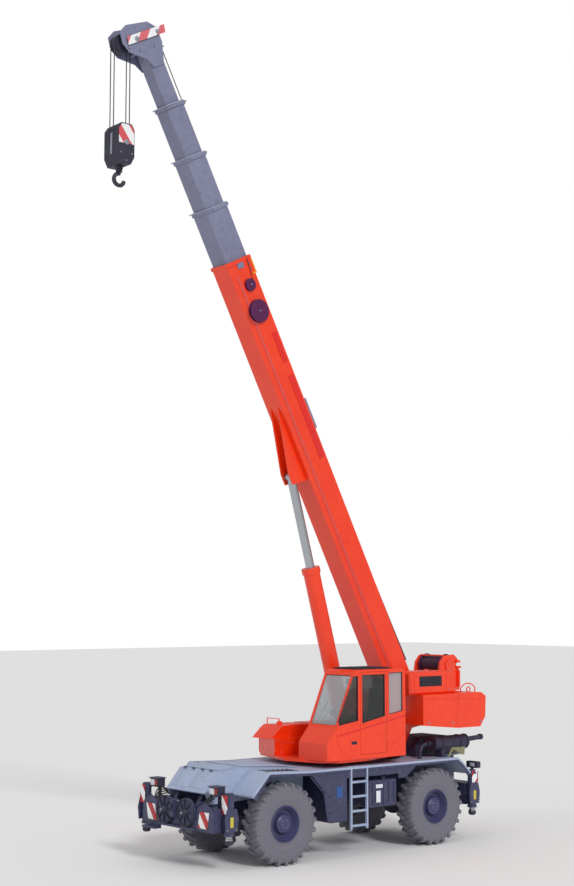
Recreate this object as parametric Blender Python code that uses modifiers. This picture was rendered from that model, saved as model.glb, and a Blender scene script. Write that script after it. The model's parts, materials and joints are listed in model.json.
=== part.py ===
"""A two-axle rough-terrain mobile crane with a five-section telescopic boom.

Metres, +X forward, +Y to the vehicle's left, +Z up.  Every piece is modelled about the vehicle's
datum (midway between the axles, on the ground) or about its own joint; at the end the root empty
is shifted so that the crane stands with its box's bottom centre at the world's origin.
"""

from collections import namedtuple
from math import atan2, cos, hypot, pi, radians, sin

import bmesh
import bpy
from mathutils import Matrix, Vector

# ---------------------------------------------------------------- driving dimensions
GAP = 0.0003                 # between solids that touch
SLIP = 0.0005                # between faces that slide on each other
RUN = 0.006                  # between solids that move past each other
SINK = 0.002                 # how far joined shapes reach into each other
WIDTH = 2.50                 # overall width of carrier, cab and counterweight
WHEELBASE = 3.85
TRACK = 2.07

TYRE_RADIUS = 0.745
TYRE_WIDTH = 0.40
RIM_RADIUS = 0.335
DISC_RADIUS = 0.185
KINGPIN_Y = 0.70             # half the distance between the kingpins
KINGPIN_RADIUS = 0.045
AXLE_RADIUS = 0.115
WHEEL_SIDES = 36

RAIL_Y, RAIL_WIDTH = 0.36, 0.10      # frame rails: centre lines and thickness
RAIL_LOW = 0.93
DECK_Z, DECK_PLATE = 1.66, 0.03
DECK_UNDER = DECK_Z - 1.2 * DECK_PLATE
HOOD_HALF = 0.58             # half width of the raised front hood
BOX_LOW, BOX_HIGH = 0.69, 1.11       # outrigger boxes, bottom and top
BOX_FRONT_X, BOX_REAR_X = 3.09, -2.92    # their faces towards the axles
BOX_WALL = 0.018
BEAM_THICK = 0.140           # an outrigger beam, along the vehicle
BEAM_INSIDE = 1.06           # how far a drawn-in beam reaches past the centre plane
JACK_RADIUS, JACK_TUBE_RADIUS = 0.058, 0.085
JACK_TOP, JACK_FOOT_Z = 1.38, 0.507
PAD_RADIUS = 0.25            # the float pads carried on the front bumper

SLEW_X, SLEW_RADIUS = -0.20, 0.68
RING_TOP, FLOOR_TOP = 1.745, 1.80    # slewing ring; top of the superstructure's floor plate
CHEEK_Y, CHEEK = 0.36, 0.05          # cheek plates: middle and thickness
CAB_IN, CAB_OUT = 0.42, WIDTH / 2
CAB_WALL, GLASS = 0.045, 0.008
DOOR_FRONT_X, DOOR_REAR_X = 0.11, -0.585
DOOR_LOW, DOOR_HIGH = 1.88, 3.435
HINGE_PIN, HINGE_INSET = 0.008, 0.04      # the door's pin: radius, distance from the rear jamb
WEIGHT_TOP, WEIGHT_LOW = 2.94, 2.25

FOOT_X, FOOT_Z, FOOT_PIN = -2.12, 2.75, 0.07     # boom foot pin and its radius
ELEVATION = radians(62.4)
LIFT_X, LIFT_Z = -0.66, 2.02         # foot pin of the lift cylinder
EYE_ALONG, EYE_BELOW = 5.33, 0.50    # rod eye pin, along the boom and below its centre line
BARREL_RADIUS, ROD_RADIUS = 0.165, 0.088
BARREL_LENGTH, ROD_LENGTH = 3.56, 3.40
BARREL_START = 0.15          # the barrel's lower end, from its foot pin
FOOT_HALF, LIFT_STUB = 0.125, 0.06   # half width of the barrel's foot; radius of the stubs beside it
BASE_TAIL = 0.36             # the base section behind its foot pin

# The boom's sections.  up and across are the belly chamfer's two legs; head is the distance from
# the foot pin to the section's outer end as the crane stands.
Section = namedtuple("Section", "name width height wall up across head length colour")
SECTIONS = (
    Section("boom_base", 0.64, 0.54, 0.012, 0.150, 0.090, 9.68, 10.04, "E63B0A"),
    Section("boom_stage_1", 0.58, 0.48, 0.010, 0.135, 0.080, 10.77, 9.20, "8A8CAA"),
    Section("boom_stage_2", 0.52, 0.425, 0.010, 0.120, 0.070, 11.81, 9.15, "8A8CAA"),
    Section("boom_stage_3", 0.46, 0.37, 0.010, 0.105, 0.060, 12.84, 9.10, "8A8CAA"),
    Section("boom_stage_4", 0.38, 0.30, 0.010, 0.080, 0.050, 13.96, 9.15, "8A8CAA"),
)
COLLAR_LENGTH, COLLAR_RISE = 0.07, 0.022
SLIDE_PAD = 0.25             # length of the slide pads at a section's inner end
HEAD_AHEAD, HEAD_BELOW = 0.21, 0.52  # head sheave axis from the last section's end
HEAD_HALF = 0.19             # middle of a head cheek plate
SHEAVE_RADIUS, ROPE_RADIUS, FALL_Y = 0.18, 0.011, 0.06
WINCH_X, WINCH_Z = -3.20, 3.45
DRUM_RADIUS, FLANGE_RADIUS, DRUM_HALF = 0.16, 0.235, 0.29
BLOCK_DROP = 1.92            # hook block's sheave axis below the head sheaves

ORANGE, PALE, DARK, BLACK = "E63B0A", "B9C6E0", "3A3C55", "23232B"
CORNERS = (("front_left", 1, 1), ("front_right", 1, -1), ("rear_left", -1, 1), ("rear_right", -1, -1))

SIDE, FRONT, PLAN = "side", "front", "plan"
# A prism's outline lies in a view's plane; these turn the curve's own plane into it.
VIEWS = {
    SIDE: Matrix(((1, 0, 0, 0), (0, 0, 1, 0), (0, 1, 0, 0), (0, 0, 0, 1))),
    FRONT: Matrix(((0, 0, 1, 0), (1, 0, 0, 0), (0, 1, 0, 0), (0, 0, 0, 1))),
    PLAN: Matrix.Identity(4),
}
AXES = {"X": Matrix.Rotation(pi / 2, 4, "Y"), "Y": Matrix.Rotation(-pi / 2, 4, "X"), "Z": Matrix()}


# ---------------------------------------------------------------- shapes
def start():
    """Empty the scene and make the crane's own collection."""
    for old in list(bpy.data.objects):
        bpy.data.objects.remove(old)
    collection = bpy.data.collections.new("mobile_crane")
    bpy.context.scene.collection.children.link(collection)
    return collection


CRANE = start()


def show(data, name="shape"):
    """A new object for a mesh or curve, in the crane's collection."""
    made = bpy.data.objects.new(name, data)
    CRANE.objects.link(made)
    return made


def bake(shape, face_out=True):
    """Turn an object and its modifiers into a plain welded mesh at the origin."""
    bpy.context.view_layer.update()
    graph = bpy.context.evaluated_depsgraph_get()
    mesh = bpy.data.meshes.new_from_object(shape.evaluated_get(graph))
    mesh.transform(shape.matrix_world)
    bpy.data.objects.remove(shape)
    work = bmesh.new()
    work.from_mesh(mesh)
    bmesh.ops.remove_doubles(work, verts=work.verts, dist=0.00002)
    bmesh.ops.dissolve_degenerate(work, dist=0.00002, edges=work.edges)
    if face_out:
        bmesh.ops.recalc_face_normals(work, faces=work.faces)
    work.to_mesh(mesh)
    work.free()
    return show(mesh)


def box(low, high, bevel=0.0, segments=1):
    """A block between two corners, its edges bevelled where asked."""
    work = bmesh.new()
    bmesh.ops.create_cube(work, size=1.0)
    low, high = Vector(low), Vector(high)
    size = high - low
    bmesh.ops.scale(work, vec=size, verts=work.verts)
    bmesh.ops.translate(work, vec=(low + high) / 2, verts=work.verts)
    if bevel:
        bmesh.ops.bevel(work, geom=work.edges[:], offset=bevel, segments=segments, affect="EDGES")
    mesh = bpy.data.meshes.new("box")
    work.to_mesh(mesh)
    work.free()
    return show(mesh)


def rod(axis, middle, span, radius, end_radius=None, segments=20):
    """A cylinder or cone along an axis, from span[0] to span[1] along it."""
    work = bmesh.new()
    bmesh.ops.create_cone(work, cap_ends=True, segments=segments, radius1=radius,
                          radius2=radius if end_radius is None else end_radius,
                          depth=span[1] - span[0])
    bmesh.ops.translate(work, vec=(0, 0, (span[0] + span[1]) / 2), verts=work.verts)
    bmesh.ops.transform(work, matrix=Matrix.Translation(middle) @ AXES[axis], verts=work.verts)
    mesh = bpy.data.meshes.new("rod")
    work.to_mesh(mesh)
    work.free()
    return show(mesh)


def ball(middle, radius, segments=20):
    """A sphere."""
    work = bmesh.new()
    bmesh.ops.create_uvsphere(work, u_segments=segments, v_segments=segments // 2, radius=radius)
    bmesh.ops.translate(work, vec=middle, verts=work.verts)
    mesh = bpy.data.meshes.new("ball")
    work.to_mesh(mesh)
    work.free()
    return show(mesh)


def prism(view, outline, span, holes=()):
    """A flat outline, with holes, thickened from span[0] to span[1] across its view."""
    curve = bpy.data.curves.new("outline", "CURVE")
    curve.dimensions = "2D"
    curve.fill_mode = "BOTH"
    curve.extrude = (span[1] - span[0]) / 2
    for ring in (outline, *holes):
        spline = curve.splines.new("POLY")
        spline.points.add(len(ring) - 1)
        for point, (across, up) in zip(spline.points, ring):
            point.co = (across, up, 0, 1)
        spline.use_cyclic_u = True
    shift = Matrix.Translation((0, 0, (span[0] + span[1]) / 2))
    return moved(bake(show(curve)), VIEWS[view] @ shift)


def turned(axis, middle, profile, segments=32):
    """A solid of revolution; the profile's columns are distance along the axis and radius."""
    mesh = bpy.data.meshes.new("profile")
    closed = profile[0][1] > 0
    edges = [(i, i + 1) for i in range(len(profile) - 1)]
    if closed:
        edges.append((len(profile) - 1, 0))
    mesh.from_pydata([(radius, 0, along) for along, radius in profile], edges, [])
    made = show(mesh)
    screw = made.modifiers.new("turn", "SCREW")
    screw.steps = screw.render_steps = segments
    screw.use_merge_vertices = True
    screw.merge_threshold = 0.0001
    made.matrix_world = Matrix.Translation(middle) @ AXES[axis]
    return bake(made)


def wire(points, radius, closed=False, resolution=2):
    """A round bar or rope along a route."""
    curve = bpy.data.curves.new("wire", "CURVE")
    curve.dimensions = "3D"
    curve.bevel_depth = radius
    curve.bevel_resolution = resolution
    curve.use_fill_caps = not closed
    spline = curve.splines.new("POLY")
    spline.points.add(len(points) - 1)
    for point, place in zip(spline.points, points):
        point.co = (*place, 1)
    spline.use_cyclic_u = closed
    return bake(show(curve))


def combine(base, others, operation):
    """Apply one Boolean after another and remove what was used up."""
    for other in others:
        change = base.modifiers.new(operation, "BOOLEAN")
        change.operation = operation
        change.object = other
        change.solver = "EXACT"
        base = bake(base, face_out=False)
        bpy.data.objects.remove(other)
    return base


def union(base, *others):
    """Join shapes that reach into each other."""
    return combine(base, others, "UNION")


def cut(base, *others):
    """Take shapes away."""
    return combine(base, others, "DIFFERENCE")


def moved(shape, matrix):
    """Move or turn a baked shape's mesh; a mirroring matrix keeps its faces outward."""
    shape.data.transform(matrix)
    if matrix.determinant() < 0:
        shape.data.flip_normals()
    return shape


def around(radius, segments, gap=GAP):
    """Corner radius of a bore with so many sides, for a shaft of this radius to turn in."""
    return radius / cos(pi / segments) + gap


def arc(centre, radius, first, last, steps):
    """Points along an arc, angles in degrees."""
    turns = [radians(first + (last - first) * i / steps) for i in range(steps + 1)]
    return [(centre[0] + radius * cos(turn), centre[1] + radius * sin(turn)) for turn in turns]


# ---------------------------------------------------------------- the tree of frames
def frame(name, parent, place, turn=0.0):
    """An empty on a joint: its place, and its turn about +Y, in its parent's frame."""
    made = show(None, name)
    made.empty_display_size = 0.2
    made.parent = parent
    made.matrix_local = Matrix.Translation(place) @ Matrix.Rotation(turn, 4, "Y")
    bpy.context.view_layer.update()
    return made


def material(colour, roughness, metallic):
    """One Principled material per colour and finish."""
    name = f"paint_{colour}_{int(roughness * 100)}"
    found = bpy.data.materials.get(name)
    if found:
        return found
    made = bpy.data.materials.new(name)
    made.use_nodes = True
    shader = made.node_tree.nodes["Principled BSDF"]
    parts = [int(colour[i:i + 2], 16) / 255 for i in (0, 2, 4)]
    linear = [part / 12.92 if part <= 0.04045 else ((part + 0.055) / 1.055) ** 2.4 for part in parts]
    shader.inputs["Base Color"].default_value = (*linear, 1)
    shader.inputs["Roughness"].default_value = roughness
    shader.inputs["Metallic"].default_value = metallic
    return made


def piece(name, shape, parent, colour, roughness=0.5, metallic=0.0, own=False):
    """Name a shape and hang it on its frame; own means it was modelled in that frame."""
    shape.name = name
    shape.data.name = name
    shape.data.materials.clear()
    shape.data.materials.append(material(colour, roughness, metallic))
    shape.data.shade_smooth()
    shape.data.set_sharp_from_angle(angle=radians(32))
    shape.parent = parent
    if not own:
        shape.matrix_parent_inverse = parent.matrix_world.inverted()
    return shape


# ---------------------------------------------------------------- carrier
AXLE_X = WHEELBASE / 2
WHEEL_Y = TRACK / 2
BOX_DEPTH = 2 * BEAM_THICK + 4 * RUN + 3 * BOX_WALL
BOX_PLACES = {1: BOX_FRONT_X, -1: BOX_REAR_X}


def channel_x(end, side):
    """Middle of one outrigger beam's channel; left beams run nearest the axle."""
    step = BOX_WALL + RUN + BEAM_THICK / 2 + (0 if side > 0 else BEAM_THICK + 2 * RUN + BOX_WALL)
    return BOX_PLACES[end] + end * step


def outrigger_box(end):
    """A beam box across the vehicle with its two channels open at both sides."""
    near, far = sorted((BOX_PLACES[end], BOX_PLACES[end] + end * BOX_DEPTH))
    half = WIDTH / 2 - 0.18
    shell = box((near, -half, BOX_LOW), (far, half, BOX_HIGH))
    channels = []
    for side in (1, -1):
        middle = channel_x(end, side)
        reach = BEAM_THICK / 2 + RUN
        channels.append(box((middle - reach, -half - 1, BOX_LOW + BOX_WALL),
                            (middle + reach, half + 1, BOX_HIGH - BOX_WALL)))
    return cut(shell, *channels)


def chassis(root):
    """Two frame rails, both outrigger boxes, cross members and the axle mounts."""
    top = DECK_UNDER - GAP
    shapes = [outrigger_box(1), outrigger_box(-1)]
    rear = BOX_REAR_X - BOX_DEPTH + 2 * SINK
    front = BOX_FRONT_X + BOX_DEPTH
    seat = BOX_HIGH - 2 * SINK
    for side in (1, -1):
        inner, outer = sorted((side * (RAIL_Y - RAIL_WIDTH / 2), side * (RAIL_Y + RAIL_WIDTH / 2)))
        line = ((rear, seat), (BOX_REAR_X + 0.02, seat), (BOX_REAR_X + 0.02, RAIL_LOW),
                (BOX_FRONT_X - 0.02, RAIL_LOW), (BOX_FRONT_X - 0.02, seat - SINK),
                (front - 0.13, seat - SINK),
                (front - 0.45, top), (rear, top))
        shapes.append(prism(SIDE, line, (inner, outer)))
    for along in (-1.0, 0.0, 1.0, 2.75):
        shapes.append(box((along - 0.06, -RAIL_Y, 1.20), (along + 0.06, RAIL_Y, 1.50)))
    return piece("chassis", union(*shapes), root, DARK)


def axle(name, end, root):
    """A beam axle with its differential housing and a kingpin boss at each end."""
    along = end * AXLE_X
    tube_half = KINGPIN_Y - 0.10
    parts = [rod("Y", (along, 0, TYRE_RADIUS), (-tube_half, tube_half), AXLE_RADIUS),
             ball((along, 0, TYRE_RADIUS - 0.02), 0.235)]
    for side in (1, -1):
        for ear in (-1, 1):
            low, high = sorted((0.105 * ear, 0.165 * ear))
            parts.append(rod("Z", (along, side * KINGPIN_Y, TYRE_RADIUS), (low, high), 0.075))
        inner, outer = sorted((side * (tube_half - 0.10), side * (KINGPIN_Y - 0.085)))
        parts.append(box((along - 0.07, inner, TYRE_RADIUS - 0.165),
                         (along + 0.07, outer, TYRE_RADIUS + 0.165)))
        for ear in (-1, 1):
            low, high = sorted((0.105 * ear, 0.165 * ear))
            reach = sorted((side * (KINGPIN_Y - 0.12), side * KINGPIN_Y))
            parts.append(box((along - 0.055, reach[0], TYRE_RADIUS + low),
                             (along + 0.055, reach[1], TYRE_RADIUS + high)))
        rail = side * RAIL_Y
        parts.append(box((along - 0.14, rail - RAIL_WIDTH / 2, TYRE_RADIUS + 0.03),
                         (along + 0.14, rail + RAIL_WIDTH / 2, RAIL_LOW - GAP)))
    return piece(name, union(*parts), root, DARK)


def knuckle_shape():
    """A steering knuckle about its kingpin, its spindle towards +Y."""
    arm = WHEEL_Y - KINGPIN_Y
    return union(rod("Z", (0, 0, 0), (-0.105 + SLIP, 0.105 - SLIP), 0.07),
                 rod("Y", (0, 0, 0), (0.02, arm - 0.14), 0.10),
                 rod("Y", (0, 0, 0), (0.1, arm + 0.10), 0.055))


def rim_shape():
    """A wheel disc with its hub, about the wheel's centre, its outer face towards +Y."""
    edge, half = RIM_RADIUS, TYRE_WIDTH / 2 - 0.035
    bore = around(0.055, WHEEL_SIDES)
    profile = ((0.15, 0.0), (0.15, DISC_RADIUS - 0.05), (0.13, DISC_RADIUS - 0.02),
               (0.055, DISC_RADIUS), (0.055, edge - 0.085), (half - 0.05, edge - 0.045),
               (half, edge - 0.025), (half, edge), (-half, edge), (-half, edge - 0.045),
               (0.02, edge - 0.06), (0.02, 0.14), (-0.12, 0.10), (-0.12, bore), (0.115, bore),
               (0.115, 0.0))
    return turned("Y", (0, 0, 0), profile, WHEEL_SIDES)


def tyre_shape():
    """A tyre about the wheel's centre: rounded shoulders and a bead on the rim."""
    half, inner = TYRE_WIDTH / 2, RIM_RADIUS + GAP
    side = [(half - 0.035, inner), (half - 0.03, inner + 0.03), (half, inner + 0.16),
            (half, TYRE_RADIUS - 0.10), (half - 0.02, TYRE_RADIUS - 0.03), (half - 0.06, TYRE_RADIUS)]
    profile = side + [(-along, radius) for along, radius in reversed(side)]
    return turned("Y", (0, 0, 0), profile, WHEEL_SIDES)


def wheels(root):
    """Four steered, driven wheels; each knuckle turns about Z and each wheel about Y."""
    for name, end, side in CORNERS:
        steer = frame(f"steer_{name}", root, (end * AXLE_X, side * KINGPIN_Y, TYRE_RADIUS))
        spin = frame(f"spin_{name}", steer, (0, side * (WHEEL_Y - KINGPIN_Y), 0))
        face = Matrix.Scale(side, 4, (0, 1, 0))
        piece(f"knuckle_{name}", moved(knuckle_shape(), face), steer, DARK, own=True)
        piece(f"rim_{name}", moved(rim_shape(), face), spin, "44426A", own=True)
        piece(f"tyre_{name}", tyre_shape(), spin, "2B2A33", 0.85, own=True)


def deck(root):
    """The decking: one folded plate over both axles, with the hood's slope at the front."""
    t = DECK_PLATE
    # columns: distance forward, height of the top face
    fold = ((2.735, 1.30), (2.32, 1.70), (1.40, DECK_Z), (-1.45, DECK_Z), (-2.54, DECK_Z),
            (-2.68, 1.56), (-2.905, 1.348))
    under = [(along - (t if i == 0 else 0), up - t * 1.2) for i, (along, up) in enumerate(fold)]
    plate = prism(SIDE, list(fold) + list(reversed(under)), (-WIDTH / 2, WIDTH / 2))
    front_void = box((1.0, -HOOD_HALF, 1.0), (3.0, HOOD_HALF, 2.0))
    rear_void = box((-3.2, -HOOD_HALF, 1.0), (-2.5, HOOD_HALF, 2.0))
    plate = cut(plate, front_void, rear_void)
    hood_top = DECK_Z + 0.04
    hood = ((3.31, 1.34), (3.0, hood_top), (2.5, hood_top + 0.06), (0.97, DECK_Z - 2 * SINK),
            (0.97, DECK_Z - t + 2 * SINK), (2.5, hood_top + 0.06 - t), (2.98, hood_top - t), (3.29, 1.32))
    front_hood = prism(SIDE, hood, (-HOOD_HALF - 0.02, HOOD_HALF + 0.02))
    rear_deck = box((-3.33, -HOOD_HALF - 0.02, DECK_Z - t + SINK), (-2.49, HOOD_HALF + 0.02, DECK_Z - SINK))
    return piece("deck", union(plate, front_hood, rear_deck), root, PALE)


def outriggers(root):
    """Four beams that slide out sideways, each with a jack that slides down."""
    for name, end, side in CORNERS:
        along = channel_x(end, side)
        slide = frame(f"beam_{name}", root, (along, side * WIDTH / 2, 0))
        jack = frame(f"jack_{name}", slide, (0, -side * JACK_TUBE_RADIUS, 0))
        low, high = BOX_LOW + BOX_WALL + RUN, BOX_HIGH - BOX_WALL - RUN
        half = BEAM_THICK / 2
        mouth = WIDTH / 2 - 2 * JACK_TUBE_RADIUS
        reach = sorted((side * (mouth + 0.03), -side * BEAM_INSIDE))
        beam = box((along - half, reach[0], low), (along + half, reach[1], high))
        pad = sorted((-side * (BEAM_INSIDE - 0.01), -side * (BEAM_INSIDE - 0.25)))
        pads = box((along - half + 0.02, pad[0], BOX_LOW + BOX_WALL + SLIP),
                   (along + half - 0.02, pad[1], BOX_HIGH - BOX_WALL - SLIP))
        foot = (along, side * (WIDTH / 2 - JACK_TUBE_RADIUS), 0)
        tube = rod("Z", foot, (JACK_FOOT_Z + 0.13, JACK_TOP), JACK_TUBE_RADIUS)
        bore = rod("Z", foot, (0, JACK_TOP - 0.04), JACK_RADIUS + GAP)
        beam = cut(union(beam, pads, tube), bore)
        piece(f"outrigger_beam_{name}", beam, slide, DARK)
        stem = union(rod("Z", foot, (JACK_FOOT_Z + 0.02, JACK_TOP - 0.10), JACK_RADIUS),
                     ball((foot[0], foot[1], JACK_FOOT_Z + 0.055), 0.055 + 0.02, 12))
        piece(f"outrigger_jack_{name}", stem, jack, "9A9CA6", 0.3, 0.8)


def front_bumper(root):
    """A plate on the front box with two float pads and the tow hook's bracket between them."""
    face = BOX_FRONT_X + BOX_DEPTH + GAP
    plate = box((face, -WIDTH / 2 + 0.17, 0.72), (face + 0.03, WIDTH / 2 - 0.17, 1.08))
    pads = [rod("X", (0, side * 0.32, 1.0), (face + 0.02, face + 0.09), PAD_RADIUS, segments=32)
            for side in (1, -1)]
    ribs = [rod("X", (0, side * 0.32, 1.0), (face + 0.08, face + 0.14), 0.09, 0.06)
            for side in (1, -1)]
    hook = box((face + 0.02, -0.045, 0.90), (face + 0.16, 0.045, 1.20))
    step = box((face, -0.95, 0.62), (face + 0.16, -0.55, 0.655))
    hanger = box((face, -0.95, 0.64), (face + 0.02, -0.55, 0.80))
    return piece("front_bumper", union(plate, *pads, *ribs, hook, step, hanger), root, DARK)


def lamps(root):
    """Headlamp and tail lamp boxes, each on its bracket."""
    for name, side in (("left", 1), ("right", -1)):
        out, inn = sorted((side * 0.80, side * 1.06))
        head = union(box((3.19, out, 1.33), (3.36, inn, 1.49), 0.01),
                     box((3.20, out + 0.10, BOX_HIGH + GAP), (3.24, inn - 0.10, 1.34)))
        piece(f"headlamp_{name}", head, root, BLACK)


def engine(root):
    """The engine as one plain block between the rails, and its hood on the deck."""
    inner = RAIL_Y - RAIL_WIDTH / 2 - GAP
    piece("engine_block", box((-2.88, -inner, 1.02), (-1.20, inner, 1.61)), root, "505058")
    hood = ((-3.31, DECK_Z + GAP), (-3.31, 1.90), (-3.20, 2.00), (-2.15, 2.00), (-2.02, 1.88),
            (-2.02, DECK_Z + GAP))
    piece("engine_hood", prism(SIDE, hood, (-0.56, 0.56)), root, DARK)
    middle, low = 0.90, DECK_Z + GAP
    silencer = union(rod("X", (0, middle, 1.94), (-3.08, -2.13), 0.14, segments=28),
                     wire(((-2.2, middle, 1.94), (-1.98, middle, 1.94), (-1.86, middle, 1.90),
                           (-1.80, middle, 1.80), (-1.80, middle, low)), 0.045),
                     wire(((-3.0, middle, 1.96), (-3.30, middle, 1.98), (-3.59, middle, 2.0)), 0.05),
                     box((-2.45, middle - 0.09, low), (-2.33, middle + 0.09, 1.86)))
    piece("exhaust_silencer", silencer, root, "4A4660", 0.6)


def ladders(root):
    """A ladder to the deck on each side, between the wheels."""
    low, high = 0.50, DECK_UNDER - GAP
    for name, side in (("left", 1), ("right", -1)):
        face = sorted((side * (WIDTH / 2 - 0.045), side * WIDTH / 2))
        rails = [box((along, face[0], low), (along + 0.035, face[1], high)) for along in (-0.08, 0.325)]
        rungs = [rod("X", (0, side * (WIDTH / 2 - 0.022), low + 0.06 + 0.27 * i), (-0.06, 0.34), 0.016,
                     segments=12) for i in range(4)]
        piece(f"ladder_{name}", union(rails[0], *rungs, rails[1]), root, PALE)


def lockers(root):
    """A tank and a locker between the wheels on each side, on one backing plate."""
    inner = RAIL_Y + RAIL_WIDTH / 2 + GAP
    high = DECK_UNDER - GAP
    # columns: name, side, tank bottom, tank top, locker bottom, locker top
    table = (("left", 1, 0.86, 1.37, 0.66, 1.45), ("right", -1, 0.72, high, 0.66, high))
    for name, side, tank_low, tank_high, locker_low, locker_high in table:
        near, outer, back = side * inner, side * 1.21, side * (inner + 0.05)
        tank = box((-0.87, min(near, outer), tank_low), (-0.12, max(near, outer), tank_high), 0.02)
        locker = box((0.42, min(near, outer), locker_low), (0.84, max(near, outer), locker_high), 0.02)
        plate = box((-0.80, min(near, back), 1.05), (0.80, max(near, back), 1.30))
        piece(f"lockers_{name}", union(tank, locker, plate), root, DARK)


def slew_ring(root):
    """The slewing ring on the deck."""
    profile = ((DECK_Z + GAP, SLEW_RADIUS - 0.12), (DECK_Z + GAP, SLEW_RADIUS),
               (RING_TOP, SLEW_RADIUS), (RING_TOP, SLEW_RADIUS - 0.12))
    piece("slewing_ring", turned("Z", (SLEW_X, 0, 0), profile, 40), root, DARK)


# ---------------------------------------------------------------- superstructure
def turret_frame(turret):
    """Floor plate, two cheeks with the pins' bosses, and the boom's foot pin."""
    floor = prism(PLAN, ((-1.88, -0.42), (-1.43, -0.75), (-0.2, -1.10), (0.73, -1.04), (1.08, 0.11),
                         (0.88, 0.97), (0.60, 1.20), (-0.19, 1.17), (-1.43, 0.75), (-1.88, 0.42)),
                  (RING_TOP + SLIP, FLOOR_TOP))
    # columns: distance forward, height
    cheek = ((-2.62, 2.30), (-2.10, 2.22), (-1.84, FLOOR_TOP - SINK), (0.10, FLOOR_TOP - SINK),
             (0.10, 1.98), (-0.35, 2.22), (-1.20, 2.40), (-1.90, 2.96), (-2.35, 3.00), (-2.86, 3.10),
             (-2.94, 3.52), (-3.06, 3.66),
             (-3.34, 3.68), (-3.46, 3.58), (-3.40, 3.46), (-3.50, 3.36), (-3.50, WEIGHT_TOP + GAP),
             (-2.62, WEIGHT_TOP + GAP))
    shapes = [floor]
    for side in (1, -1):
        inner, outer = sorted((side * (CHEEK_Y - CHEEK / 2), side * (CHEEK_Y + CHEEK / 2)))
        shapes.append(prism(SIDE, cheek, (inner, outer)))
        stub = sorted((side * (FOOT_HALF + SLIP), side * (CHEEK_Y - CHEEK / 2 + SINK)))
        shapes.append(rod("Y", (LIFT_X, 0, LIFT_Z), stub, LIFT_STUB, segments=20))
        bearing = sorted((side * (DRUM_HALF + SLIP), side * (CHEEK_Y - CHEEK / 2 + SINK)))
        shapes.append(rod("Y", (WINCH_X, 0, WINCH_Z), bearing, 0.10, segments=20))
    pin_reach = CHEEK_Y
    shapes.append(rod("Y", (FOOT_X, 0, FOOT_Z), (-pin_reach, pin_reach), FOOT_PIN))
    return piece("turret_frame", union(*shapes), turret, ORANGE)


def counterweight(turret):
    """A rounded weight across the tail, slotted for the cheeks and the boom's foot."""
    outline = ((-1.57, WEIGHT_LOW + 0.09), (-2.55, WEIGHT_LOW), (-3.20, WEIGHT_LOW), (-3.35, 2.45),
               (-3.37, 2.86), (-3.24, WEIGHT_TOP), (-1.57, WEIGHT_TOP))
    block = prism(SIDE, outline, (-WIDTH / 2, WIDTH / 2))
    slot = CHEEK_Y + CHEEK / 2 + GAP
    weight = cut(block, box((-2.62 - GAP, -slot, 2.0), (-1.0, slot, 3.2)))
    return piece("counterweight", weight, turret, ORANGE)


def machinery_housing(turret):
    """A vented housing on the weight, left of the cheeks."""
    inner = CHEEK_Y + CHEEK / 2 + GAP
    shape = box((-2.62, inner, WEIGHT_TOP + GAP), (-1.30, 1.16, 3.38), 0.04)
    piece("machinery_housing", shape, turret, ORANGE)


def front_cover(turret):
    """The skirt round the front of the floor, with a hydraulics box on the right."""
    skirt = prism(PLAN, ((-1.05, -1.07), (0.735, -1.07), (1.11, 0.11), (1.04, CAB_IN - GAP - RUN),
                         (-1.05, CAB_IN - GAP - RUN)), (FLOOR_TOP + GAP, 2.12))
    outline = ((-1.04, 2.10), (0.92, 2.10), (0.72, 2.28), (0.62, 2.35), (-1.04, 2.35))
    raised = prism(SIDE, outline, (-1.06, -0.45))
    channel = box((-1.2, -0.27, FLOOR_TOP - 0.1), (1.3, 0.29, 2.6))
    behind = box((-1.2, -CHEEK_Y - CHEEK / 2 - GAP, 1.0), (0.1 + GAP, 0.9, 2.6))
    cover = cut(union(skirt, raised), channel, behind)
    return piece("front_cover", keep(cover, -1), turret, ORANGE)


def keep(shape, side):
    """Drop what lies on the other side of the centre plane."""
    low, high = (-9, 0) if side > 0 else (0, 9)
    return cut(shape, box((-9, low, -9), (9, high, 9)))


CAB_LINE = ((-1.08, FLOOR_TOP + GAP), (0.95, FLOOR_TOP + GAP), (0.95, 2.12), (0.72, 2.39), (0.27, 3.44),
            (0.22, 3.48), (-1.02, 3.48), (-1.08, 3.42))


def shrunk(outline, by):
    """An outline moved inward by a distance; its points run anticlockwise."""
    inner = []
    for i, here in enumerate(outline):
        before, after = Vector(outline[i - 1]), Vector(outline[(i + 1) % len(outline)])
        here = Vector(here)
        first, second = (here - before).normalized(), (after - here).normalized()
        normal = Vector((-first.y - second.y, first.x + second.x)).normalized()
        reach = by / max(0.2, normal.dot(Vector((-first.y, first.x))))
        inner.append(tuple(here + normal * reach))
    return inner


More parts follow.
